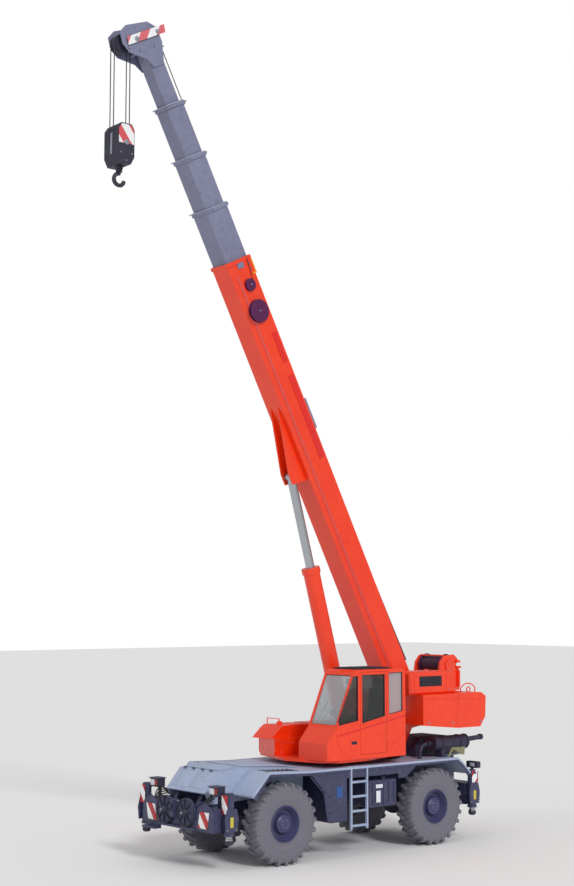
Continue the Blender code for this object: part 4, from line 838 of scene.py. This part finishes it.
# ---------------------------------------------------------------- upper structure
@dataclass
class CabTrim:
    """Window seals, wipers, roof frames, seams and stripes of the cab."""

    face: float = 1.238
    seal: float = 0.013
    windows: tuple[Outline, ...] = (
        ((-1.00, 2.66), (-0.64, 2.60), (-0.64, 3.40), (-1.00, 3.41)),
        ((0.66, 2.45), (0.66, 2.52), (0.29, 3.36), (0.17, 3.36), (0.17, 2.52)),
        ((-0.53, 2.58), (0.06, 2.47), (0.06, 3.38), (-0.53, 3.38)))
    screen_centre: Point = (0.495, 0.0, 2.915)
    screen_half: float = 0.50
    screen_lean: float = radians(-113.2)

    @property
    def screen(self) -> Matrix:
        """The windscreen's plane: X up its slope, Z outwards."""
        return VEHICLE @ Matrix.Translation(self.screen_centre) @ Matrix.Rotation(self.screen_lean, 4, "Y")

    def seals(self) -> None:
        """Rubber round each window, and the small front side pane itself."""
        fixed, moving = Shape().use(SEAL), Shape().use(SEAL)
        for i, outline in enumerate(self.windows):
            target = moving if i == 2 else fixed
            target.wire([(along, self.face, up) for along, up in outline], self.seal, closed=True,
                    smooth=False)
        fixed.use(PANE_DARK).plate(Facing.SIDE, self.windows[1], (1.215, 1.223), 0.0)
        fixed.done("cab_window_seals", "turret", "console_plastic")
        moving.use(PLASTIC).wire([(0.03, 1.232, 2.44), (0.035, 1.246, 2.47), (0.035, 1.246, 2.58),
                (0.03, 1.232, 2.61)], 0.011)
        moving.block((-0.005, 1.236, 2.46), (0.05, 1.247, 2.58), 0.004)
        moving.use(ENAMEL_RED).plate(Facing.SIDE,
                ((-0.57, 2.46), (0.095, 2.34), (0.095, 2.37), (-0.57, 2.49)), (1.2500, 1.2530), 0.0)
        moving.use(SEAL).wire([(-0.56, 1.246, 1.90), (-0.56, 1.246, 3.42)], 0.005, smooth=False)
        moving.done("cab_door_trim", "cab_door", "console_plastic")

    def windscreen(self) -> None:
        """The windscreen's frame and wipers."""
        shape = Shape(self.screen).use(SEAL)
        low, high, half = 0.47, 1.20, self.screen_half
        shape.wire([(-half, low, 0.02), (half, low, 0.02), (half, high, 0.02), (-half, high, 0.02)], 0.016,
                closed=True, smooth=False)
        for across, reach in ((0.62, 0.26), (0.92, 0.20)):
            shape.use(PLASTIC).bar((-half + 0.01, across, 0.04), (-half + 0.01, across + 0.05, 0.05), 0.02,
                    12)
            shape.wire([(-half + 0.02, across + 0.03, 0.05), (-half + 0.30, across + reach, 0.045)], 0.007,
                    smooth=False)
            shape.block((-half + 0.06, across + 0.10, 0.026), (-half + 0.56, across + 0.113, 0.042), 0.003, 1,
                        Matrix.Rotation(radians(14), 4, "Z") @ Matrix.Translation((0.13, -0.02, 0)))
        shape.use(SEAL).bar((half - 0.10, 1.10, 0.03), (half - 0.10, 1.10, 0.075), 0.055, 24, bevel=0.008)
        shape.use(LENS_CLEAR).bar((half - 0.10, 1.10, 0.072), (half - 0.10, 1.10, 0.079), 0.043, 24)
        shape.done("windscreen_trim", "turret", "console_plastic")

    def roof(self) -> None:
        """Roof window with its frame, guard bars, wiper and drip rails."""
        shape = Shape().use(PLASTIC)
        shape.wire([(-0.74, 0.49, 3.488), (0.12, 0.49, 3.488), (0.12, 1.18, 3.488), (-0.74, 1.18, 3.488)],
                0.016, closed=True, smooth=False)
        for i in range(5):
            across = 0.58 + 0.13 * i
            shape.bar((-0.74, across, 3.505), (0.12, across, 3.505), 0.009, 8)
        shape.block((-0.34, 0.47, 3.49), (-0.27, 1.20, 3.512), 0.004)
        shape.wire([(0.10, 1.10, 3.51), (-0.20, 0.92, 3.515)], 0.008, smooth=False)
        shape.use(PANE_CLEAR).block((-0.715, 0.515, 3.468), (0.095, 1.155, 3.474), 0.0)
        shape.use(ENAMEL)
        shape.wire([(0.22, 1.238, 3.47), (-1.06, 1.238, 3.47), (-1.06, 0.43, 3.47)], 0.010, smooth=False)
        shape.done("cab_roof_frame", "turret", "orange_paint")

    def panels(self) -> None:
        """Belt stripes, panel seams, door hinges and fixings on the cab's side."""
        shape = Shape().use(ENAMEL_RED)
        for stripe in (((0.12, 2.335), (0.70, 2.24), (0.70, 2.27), (0.12, 2.365)),
                ((-1.075, 2.55), (-0.60, 2.465), (-0.60, 2.495), (-1.075, 2.58))):
            shape.plate(Facing.SIDE, stripe, (1.2500, 1.2530), 0.0)
        seam = [(0.72, 1.2495, 2.38), (0.70, 1.2495, 2.20), (0.62, 1.2495, 2.03), (0.48, 1.2495, 1.91),
                (0.30, 1.2495, 1.84)]
        shape.use(ENAMEL_RED).wire(seam, 0.0045)
        shape.wire([(-1.06, 1.2495, 2.30), (-0.90, 1.2495, 2.12), (-0.62, 1.2495, 1.98)], 0.0045)
        shape.use(ENAMEL)
        for up in (2.05, 2.72, 3.30):
            shape.block((-0.625, 1.243, up - 0.05), (-0.59, 1.253, up + 0.05), 0.003)
        for along in (-0.98, -0.80, -0.70):
            shape.bolt((along, 1.250, 1.90), (0, 1, 0), 0.009)
        shape.use(PLASTIC).block((0.20, 1.246, 2.08), (0.34, 1.252, 2.14), 0.003)
        shape.done("cab_panel_trim", "turret", "orange_paint")

    def interior(self) -> None:
        """Levers, pedals, dashboard binnacle and head rest, seen through the glass."""
        shape = Shape().use(PLASTIC)
        for across in (0.62, 0.70, 0.98, 1.06):
            shape.bar((-0.14, across, 2.20), (-0.10, across, 2.52), 0.010, 10)
            shape.lathe(Axis.Z, (-0.10, across, 2.54),
                    ((-0.03, 0.0), (-0.025, 0.018), (0.0, 0.024), (0.02, 0.018), (0.028, 0.0)), 16)
        shape.block((0.42, 0.60, 2.26), (0.60, 1.08, 2.46), 0.03, 3)
        shape.block((0.42, 0.62, 1.87), (0.50, 0.72, 1.95), 0.01)
        shape.block((0.42, 0.92, 1.87), (0.50, 1.02, 1.95), 0.01)
        shape.use(SEAT_CLOTH).block((-0.80, 0.72, 3.10), (-0.70, 0.95, 3.28), 0.03, 3)
        shape.block((-0.64, 0.53, 2.52), (-0.26, 0.60, 2.58), 0.02, 3)
        shape.block((-0.64, 1.06, 2.52), (-0.26, 1.13, 2.58), 0.02, 3)
        shape.done("cab_controls", "turret", "console_plastic")

    def build(self) -> None:
        """Make the cab's pieces."""
        self.seals()
        self.windscreen()
        self.roof()
        self.panels()
        self.interior()


@dataclass
class UpperBody:
    """Nose covers, housing, counterweight, cheeks and their fittings."""

    left: float = 1.16
    weight_top: float = 2.94

    def nose(self) -> None:
        """Seams, filler cap, lifting eyes and step plates on the nose, and the skirt's lower edge."""
        shape = Shape().use(ENAMEL)
        shape.lathe(Axis.Z, (0.45, -0.78, 2.35), ((0.0, 0.055), (0.05, 0.055), (0.06, 0.045), (0.06, 0.0)),
                28)
        shape.block((-0.80, -1.00, 2.35), (-0.10, -0.52, 2.362), 0.005)
        shape.block((0.0, -1.00, 2.35), (0.30, -0.52, 2.360), 0.005)
        shape.use(ENAMEL_RED)
        shape.wire([(-1.04, -1.068, 2.10), (0.735, -1.072, 2.10), (1.105, 0.11, 2.10), (1.045, 0.40, 2.10)],
                0.006, smooth=False)
        shape.wire([(0.735, -1.070, 2.10), (0.735, -1.070, 1.83)], 0.005, smooth=False)
        shape.wire([(1.108, 0.11, 2.10), (1.108, 0.11, 1.83)], 0.005, smooth=False)
        shape.use(ZINC)
        for along, across in ((0.80, -0.86), (0.90, -0.54), (1.00, -0.22), (1.06, 0.06)):
            shape.bolt((along + 0.012, across, 1.90), (0.95, -0.3, 0), 0.010)
        shape.use(PLASTIC).wire([(0.10, -0.20, 1.95), (0.30, -0.14, 2.05), (0.20, 0.02, 2.14),
                (-0.10, 0.10, 2.10)], 0.020)
        shape.wire([(0.14, 0.20, 1.93), (0.34, 0.14, 2.00), (0.24, -0.04, 2.08), (-0.08, -0.10, 2.06)], 0.017)
        shape.use(ENAMEL).wire([(0.60, -0.98, 2.36), (0.60, -0.98, 2.47), (0.60, -0.60, 2.47),
                (0.60, -0.60, 2.36)], 0.012, smooth=False)
        shape.done("nose_fittings", "turret", "orange_paint")

    def skirt(self) -> None:
        """The round skirt over the slewing ring, with its bolts."""
        shape = Shape().use(ENAMEL_RED)
        centre = (JOINTS["turret_slew"]["pos_m"][0] - DATUM_X, 0, 0)
        shape.lathe(Axis.Z, centre,
                ((1.747, 0.71), (1.747, 0.86), (1.762, 0.90), (1.790, 0.90), (1.790, 0.71)), 64, closed=True)
        shape.use(ZINC)
        for i in range(30):
            turn = 2 * pi * i / 30
            shape.bar((centre[0] + 0.87 * cos(turn), 0.87 * sin(turn), 1.74),
                    (centre[0] + 0.87 * cos(turn), 0.87 * sin(turn), 1.748), 0.014, 6)
        shape.done("slew_skirt", "turret", "orange_paint")

    def housing(self) -> None:
        """The housing's vent, doors, hinges and top hatch."""
        shape = Shape().use(SEAL)
        shape.block((-2.18, self.left - 0.004, 3.10), (-1.56, self.left + 0.010, 3.30), 0.012)
        shape.use(DARK_STEEL)
        for i in range(6):
            shape.block((-2.14, self.left + 0.006, 3.125 + 0.028 * i),
                    (-1.60, self.left + 0.018, 3.137 + 0.028 * i), 0.003)
        shape.use(ENAMEL_RED)
        for along in (-1.42, -2.32):
            shape.wire([(along, self.left + 0.001, 2.97), (along, self.left + 0.001, 3.35)], 0.004,
                    smooth=False)
        shape.use(ENAMEL).block((-2.50, 0.50, 3.378), (-1.50, 1.06, 3.392), 0.006)
        for along in (-2.40, -1.60):
            shape.bar((along - 0.05, 0.50, 3.392), (along + 0.05, 0.50, 3.392), 0.012, 10)
        shape.use(ZINC)
        for along in (-2.55, -2.40, -1.38):
            shape.bolt((along, self.left, 3.02), (0, 1, 0), 0.010)
        shape.use(PLASTIC).wire([(-1.30, 0.60, 3.20), (-1.18, 0.58, 3.10), (-1.16, 0.55, 2.70),
                (-1.20, 0.50, 2.45)], 0.018)
        shape.done("housing_fittings", "turret", "orange_paint")

    def weight(self) -> None:
        """Seams, tie bolts, eyes and a handrail on the counterweight."""
        shape = Shape().use(ENAMEL_RED)
        for side in (1, -1):
            shape.wire([(-1.58, side * 1.2495, 2.86), (-3.36, side * 1.2495, 2.80)], 0.004, smooth=False)
            shape.wire([(-2.55, side * 1.2495, 2.26), (-2.55, side * 1.2495, 2.93)], 0.004, smooth=False)
        shape.use(ENAMEL)
        for side in (1, -1):
            for along in (-3.10, -1.80):
                ring = [(0.012 * cos(i * pi / 4), 0.05 + 0.012 * sin(i * pi / 4)) for i in range(8)]
                shape.lathe(Axis.Y, (along, side * 1.02, self.weight_top + 0.05), tuple(ring), 24,
                        closed=True)
            shape.wire([(-1.62, side * 1.10, 2.94), (-1.62, side * 1.10, 3.06),
                    (-2.10, side * 1.10, 3.06)] if side < 0 else
                       [(-3.20, 1.10, 2.94), (-3.20, 1.10, 3.04), (-2.80, 1.10, 3.04), (-2.80, 1.10, 2.94)],
                               0.012)
        shape.use(ZINC)
        for side in (1, -1):
            for along in (-1.72, -2.40, -3.20):
                shape.bolt((along, side * 1.250, 2.36 + (0.03 if along > -2 else 0.0)), (0, side, 0), 0.018)
        shape.done("counterweight_fittings", "turret", "orange_paint")

    def cheeks(self) -> None:
        """Pin caps, ribs, pipes and the rope guard on the cheek plates."""
        foot = JOINTS["boom_luff"]["pos_m"]
        winch = JOINTS["winch_spin"]["pos_m"]
        shape = Shape(Matrix.Identity(4)).use(ZINC)
        for side in (1, -1):
            shape.bar((foot[0], side * 0.384, foot[2]), (foot[0], side * 0.402, foot[2]), 0.10, 28,
                    bevel=0.006)
            for i in range(4):
                turn = pi / 4 + pi / 2 * i
                shape.bolt((foot[0] + 0.07 * cos(turn), side * 0.402, foot[2] + 0.07 * sin(turn)),
                        (0, side, 0), 0.010)
            shape.use(ENAMEL).bar((winch[0], side * 0.384, winch[2]), (winch[0], side * 0.41, winch[2]),
                    0.13, 32, bevel=0.008)
            shape.use(ZINC)
            for i in range(8):
                turn = 2 * pi * i / 8
                shape.bolt((winch[0] + 0.10 * cos(turn), side * 0.41, winch[2] + 0.10 * sin(turn)),
                        (0, side, 0), 0.009)
        shape.use(ENAMEL)
        for side in (1, -1):
            low, high = span_of(side * 0.384, side * 0.44)
            shape.block((winch[0] - 0.27, low, winch[2] - 0.44), (winch[0] - 0.22, high, winch[2] - 0.10),
                    0.006)
            shape.block((winch[0] - 0.30, low, winch[2] - 0.06), (winch[0] - 0.20, high, winch[2] - 0.01),
                    0.006)
            shape.block((winch[0] - 0.28, low, winch[2] + 0.06), (winch[0] - 0.18, high, winch[2] + 0.11),
                    0.006)
        shape.bar((winch[0] + 0.12, -0.34, winch[2] + 0.21), (winch[0] + 0.12, 0.34, winch[2] + 0.21),
                0.018, 14)
        shape.use(PLASTIC)
        for i in range(3):
            across = -0.20 + 0.07 * i
            shape.wire([(foot[0] + 0.9, across, foot[2] - 0.62), (foot[0] + 0.5, across, foot[2] - 0.20),
                    (foot[0] + 0.25, across, foot[2] - 0.22)], 0.016)
        shape.done("cheek_fittings", "turret", "orange_paint")

    def build(self) -> None:
        """Make the upper body's pieces."""
        self.nose()
        self.skirt()
        self.housing()
        self.weight()
        self.cheeks()


@dataclass
class Winch:
    """The drum with its layers of rope."""

    core: float = 0.175
    rope: float = 0.011
    half: float = 0.268

    def build(self) -> None:
        """Wind the rope in two layers, and dress the flanges."""
        centre = Vector(JOINTS["winch_spin"]["pos_m"])
        shape = Shape(Matrix.Translation(centre)).use(ROPE)
        turns = int(2 * self.half / (2 * self.rope))
        wave = []
        for i in range(turns):
            middle_y = -self.half + self.rope * (2 * i + 1)
            for step in range(4):
                turn = pi - step * pi / 3
                wave.append((middle_y + self.rope * cos(turn), self.core + 0.018 + self.rope * sin(turn)))
        shape.lathe(Axis.Y, (0, 0, 0), tuple(wave), 40)
        shape.use(REEL_PLASTIC)
        for side in (1, -1):
            ring = [(side * 0.28 + 0.012 * cos(i * pi / 4),
                    0.232 + 0.012 * sin(i * pi / 4)) for i in range(8)]
            shape.lathe(Axis.Y, (0, 0, 0), tuple(ring), 44, closed=True)
            for i in range(6):
                turn = 2 * pi * i / 6
                shape.bar((0.19 * cos(turn), side * 0.288, 0.19 * sin(turn)),
                        (0.19 * cos(turn), side * 0.2925, 0.19 * sin(turn)), 0.018, 12)
        shape.done("winch_rope_layers", "winch_drum", "rope_winding")


# ---------------------------------------------------------------- boom, head, hook and lift
ROPE_UP, ROPE_ACROSS = 0.33, 0.05


@dataclass
class Section:
    """One telescoping section's collar, prongs, rope guide and screws."""

    node: str
    collar: float
    width: float
    height: float
    rope_from: float

    def build(self) -> None:
        """Dress the section's head end and carry its stretch of hoist rope."""
        half, rise = self.width / 2, self.height / 2
        shape = Shape(BOOM).use(SECTION_BRIGHT)
        ring = [(self.collar + 0.004, -half - 0.012, -rise - 0.012),
                (self.collar + 0.004, half + 0.012, -rise - 0.012),
                (self.collar + 0.004, half + 0.012, rise + 0.012),
                        (self.collar + 0.004, -half - 0.012, rise + 0.012)]
        shape.wire(ring, 0.010, closed=True, smooth=False)
        shape.use(SECTION_PAINT)
        for side in (1, -1):
            for up in (-0.6, 0.0, 0.6):
                shape.bar((self.collar - 0.05, side * (half + 0.002), up * rise),
                        (self.collar - 0.05, side * (half + 0.014), up * rise), 0.013, 6)
            low, high = span_of(side * 0.035, side * 0.055)
            shape.block((self.collar - 0.08, low, rise), (self.collar + 0.01, high, rise + 0.20), 0.005)
        shape.use(ROD_CHROME).bar((self.collar - 0.03, -0.09, rise + 0.17),
                (self.collar - 0.03, 0.13, rise + 0.17), 0.016, 14)
        shape.use(ROPE).bar((self.rope_from, ROPE_ACROSS, ROPE_UP),
                (self.collar + 0.02, ROPE_ACROSS, ROPE_UP), 0.009, 10)
        shape.done(f"{self.node}_collar", self.node, "boom_paint")


@dataclass
class BoomBase:
    """The base section's painted shadow panels, reels, painted highlight strip, rope box and pipes."""

    half: float = 0.322

    def reels(self) -> None:
        """The two cable reels on the left side, and their spindles."""
        shape = Shape(BOOM)
        for along, up, radius, depth in ((9.14, 0.02, 0.12, 0.05), (8.61, -0.02, 0.225, 0.06)):
            spot = (along, self.half, up)
            shape.use(REEL_PLASTIC)
            shape.lathe(Axis.Y, spot,
                    ((0.0, radius), (0.008, radius), (0.012, radius * 0.8), (depth - 0.012, radius * 0.8),
                                       (depth - 0.008, radius), (depth, radius), (depth, radius * 0.35),
                                        (depth + 0.012, radius * 0.3), (depth + 0.012, 0.0)), 40)
            for i in range(6):
                turn = 2 * pi * i / 6
                shape.bar((along + radius * 0.6 * cos(turn), self.half + depth,
                        up + radius * 0.6 * sin(turn)),
                          (along + radius * 0.6 * cos(turn), self.half + depth + 0.004,
                                  up + radius * 0.6 * sin(turn)), radius * 0.09, 14)
            shape.use(ZINC).bolt((along, self.half + depth + 0.012, up), (0, 1, 0), 0.014)
        shape.use(ROPE_DARK).wire([(9.14, self.half + 0.03, 0.11), (9.40, self.half + 0.02, 0.16),
                (9.66, self.half + 0.02, 0.18)], 0.006)
        shape.done("boom_cable_reels", "boom_base", "boom_paint")

    def fittings(self) -> None:
        """Painted edge highlight lines, collar, tab, painted highlight strip, painted shadow panels, guide
        box and pipes.
        """
        shape = Shape(BOOM).use(SECTION_PAINT)
        for side in (1, -1):
            # A thin pale line along each side where the chamfer meets the side face: a painted edge
            # highlight.
            shape.wire([(0.9, side * self.half, -0.18), (9.36, side * self.half, -0.18)], 0.004, smooth=False)
            for along in (9.42, 9.52, 9.62):
                shape.bolt((along, side * (self.half + 0.004), 0.20), (0, side, 0), 0.012)
        shape.block((9.50, self.half, -0.10), (9.66, self.half + 0.014, 0.06), 0.004)
        # Two darker red sheets on the base section's side: painted shadow where the jib's plates lie in
        # shade.
        shape.use(ENAMEL_RED)
        shape.block((7.47, self.half, 0.10), (8.09, self.half + 0.006, 0.22), 0.003)
        shape.block((5.42, self.half, 0.09), (7.19, self.half + 0.006, 0.23), 0.003)
        # A yellow-orange strip and post on the top edge: painted highlight on the orange enamel.
        shape.use(ENAMEL_HIGHLIGHT).block((9.30, self.half - 0.03, 0.27), (9.66, self.half + 0.012, 0.30), 0.004)
        shape.block((9.30, self.half, 0.20), (9.34, self.half + 0.012, 0.28), 0.004)
        shape.use(SECTION_PAINT)
        for side in (1, -1):
            low, high = span_of(side * 0.13, side * 0.15)
            shape.block((5.96, low, 0.26), (6.61, high, 0.46), 0.006)
        shape.block((5.96, -0.13, 0.43), (6.61, 0.13, 0.445), 0.004)
        shape.use(ZINC).bar((6.05, -0.15, 0.36), (6.05, 0.15, 0.36), 0.028, 18)
        shape.bar((6.50, -0.15, 0.30), (6.50, 0.15, 0.30), 0.025, 18)
        shape.use(ROPE).bar((6.05, ROPE_ACROSS, ROPE_UP + 0.05), (6.6, ROPE_ACROSS, ROPE_UP), 0.009, 10)
        shape.bar((6.6, ROPE_ACROSS, ROPE_UP), (9.70, ROPE_ACROSS, ROPE_UP), 0.009, 10)
        shape.use(PLASTIC).wire([(0.8, self.half - 0.02, 0.30), (3.0, self.half - 0.06, 0.295),
                (5.4, self.half - 0.06, 0.295)], 0.014)
        shape.wire([(0.8, -0.30, 0.29), (4.0, -0.27, 0.295), (9.2, -0.27, 0.295)], 0.012)
        shape.done("boom_base_fittings", "boom_base", "boom_paint")

    def build(self) -> None:
        """Make the base section's pieces."""
        self.reels()
        self.fittings()


@dataclass
class BoomHead:
    """Hazard bands, bolts, pin caps and rope at the top of the boom."""

    cheek: float = 0.241
    band: Outline = ((14.10, -0.53), (14.25, -0.50), (14.27, 0.44), (14.12, 0.40))

    def build(self) -> None:
        """Make the head's pieces."""
        shape = Shape(BOOM)
        for side in (1, -1):
            low, high = span_of(side * self.cheek, side * (self.cheek + 0.003))
            shape.use(HAZARD_HEAD).plate(Facing.SIDE, self.band, (low, high), 0.0)
            shape.use(ZINC)
            for along, up in ((13.95, 0.05), (13.95, -0.30), (14.05, -0.52)):
                shape.bolt((along, side * self.cheek, up), (0, side, 0), 0.014)
            shape.bar((14.16, side * self.cheek, -0.30), (14.16, side * (self.cheek + 0.014), -0.30), 0.05,
                    24, bevel=0.003)
            shape.bar((14.18, side * self.cheek, 0.22), (14.18, side * (self.cheek + 0.014), 0.22), 0.04,
                    24, bevel=0.003)
        shape.use(ROPE).bar((13.9, ROPE_ACROSS, ROPE_UP), (14.16, ROPE_ACROSS, ROPE_UP), 0.009, 10)
        shape.done("boom_head_fittings", "boom_stage_4", "block_paint")


@dataclass
class Block:
    """Stripes, silver bar, wheel pins and bolts on the hook block, and the hook's latch."""

    drop: float = 1.92
    half: float = 0.24
    front: float = 0.175

    def build(self) -> None:
        """Make the block's and the hook's pieces."""
        hang = Vector(JOINTS["tackle_swing"]["pos_m"])
        shape = Shape(Matrix.Translation(hang - Vector((0, 0, self.drop))))
        for side in (1, -1):
            low, high = span_of(side * self.half, side * (self.half + 0.003))
            shape.use(HAZARD_BLOCK).plate(Facing.SIDE,
                    ((-0.165, -0.02), (0.165, -0.02), (0.165, 0.25), (0.10, 0.34),
                                                        (-0.10, 0.34), (-0.165, 0.25)), (low, high), 0.0)
            shape.use(ZINC).bar((0, side * self.half, 0), (0, side * (self.half + 0.018), 0), 0.05, 24,
                    bevel=0.003)
            for along, up in ((-0.12, -0.20), (0.12, -0.20), (0, -0.34)):
                shape.bolt((along, side * self.half, up), (0, side, 0), 0.013)
            low, high = span_of(side * self.front, side * (self.front + 0.006))
            shape.block((low, -0.03, -0.20), (high, 0.03, 0.20), 0.002)
        shape.done("hook_block_fittings", "hook_block", "block_paint")
        hook = Shape(Matrix.Translation(JOINTS["hook_swivel"]["pos_m"])).use(ZINC)
        hook.wire([(0.02, 0, -0.09), (0.09, 0, -0.13), (0.12, 0, -0.20)], 0.012)
        hook.bolt((0, 0.04, -0.06), (0, 1, 0), 0.012)
        hook.done("hook_latch", "hook", "block_paint")


SECTIONS = (Section("boom_stage_1", 10.77, 0.58, 0.48, 9.70),
        Section("boom_stage_2", 11.81, 0.52, 0.425, 10.79),
            Section("boom_stage_3", 12.84, 0.46, 0.37, 11.83),
                    Section("boom_stage_4", 13.93, 0.38, 0.30, 12.86))
ASSEMBLIES = (*(Wheel(name, side) for name, _, side in CORNERS), Decking(), Ends(), EngineBay(), CabTrim(),
        UpperBody(),
              Winch(), BoomBase(), *SECTIONS, BoomHead(), Block())


# ---------------------------------------------------------------- stage
@dataclass
class Studio:
    """The pale floor, the soft light and the camera."""

    eye: Point = (19.653, 22.739, 4.690)
    heading: float = radians(230.48)
    tilt: float = radians(6.21)
    lens_mm: float = 60.95
    floor_size: float = 240.0

    def floor(self) -> None:
        """Lay a wide pale floor just under the tyres."""
        part = bmesh.new()
        bmesh.ops.create_grid(part, x_segments=1, y_segments=1, size=self.floor_size / 2)
        mesh = bpy.data.meshes.new("floor")
        part.to_mesh(mesh)
        part.free()
        made = bpy.data.objects.new("floor", mesh)
        bpy.context.scene.collection.objects.link(made)
        paper = bpy.data.materials.new("white_paper_floor")
        paper.use_nodes = True
        shader = paper.node_tree.nodes["Principled BSDF"]
        shader.inputs["Base Color"].default_value = linear("FAFAFA")
        shader.inputs["Roughness"].default_value = 0.9
        shader.inputs["Specular IOR Level"].default_value = 0.0
        mesh.materials.append(paper)

    def light(self) -> None:
        """Light the crane from above and from the driver's side, and fill from all round."""
        world = bpy.data.worlds.new("studio")
        bpy.context.scene.world = world
        world.use_nodes = True
        tree = world.node_tree
        back = tree.nodes["Background"]
        back.inputs["Color"].default_value = (1, 1, 1, 1)
        path = add_node(tree, "ShaderNodeLightPath")
        seen = add_node(tree, "ShaderNodeMath", {"operation": "MAXIMUM"},
                        {0: path.outputs["Is Camera Ray"], 1: path.outputs["Is Transmission Ray"]})
        level = add_node(tree, "ShaderNodeMapRange", {3: 0.5, 4: 1.0}, {0: seen.outputs[0]})
        tree.links.new(level.outputs[0], back.inputs["Strength"])
        for name, power, angle, way in (("key", 1.35, 14.0, (-0.15, -0.72, -0.5)),
                                        ("fill", 0.3, 40.0, (-0.85, 0.1, -0.35))):
            lamp = bpy.data.lights.new(name, "SUN")
            lamp.energy = power
            lamp.angle = radians(angle)
            holder = bpy.data.objects.new(name, lamp)
            holder.rotation_euler = Vector(way).to_track_quat("-Z", "Y").to_euler()
            bpy.context.scene.collection.objects.link(holder)

    def camera(self) -> None:
        """Stand the camera ahead of the crane on the driver's side, a little above the cab's floor."""
        data = bpy.data.cameras.new("camera")
        data.lens = self.lens_mm
        data.clip_end = 500.0
        holder = bpy.data.objects.new("camera", data)
        holder.location = VEHICLE @ Vector(self.eye)
        way = Vector((cos(self.heading) * cos(self.tilt), sin(self.heading) * cos(self.tilt), sin(self.tilt)))
        holder.rotation_euler = way.to_track_quat("-Z", "Y").to_euler()
        bpy.context.scene.collection.objects.link(holder)
        bpy.context.scene.camera = holder

    def build(self) -> None:
        """Set the stage."""
        bpy.context.scene.view_settings.view_transform = "Standard"
        self.floor()
        self.light()
        self.camera()


def main() -> None:
    """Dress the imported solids, add every sub-assembly and set the stage."""
    logging.basicConfig(level=logging.INFO, format="%(message)s")
    dress_packed_nodes()
    for assembly in ASSEMBLIES:
        assembly.build()
    Studio().build()


if __name__ == "__main__":
    main()
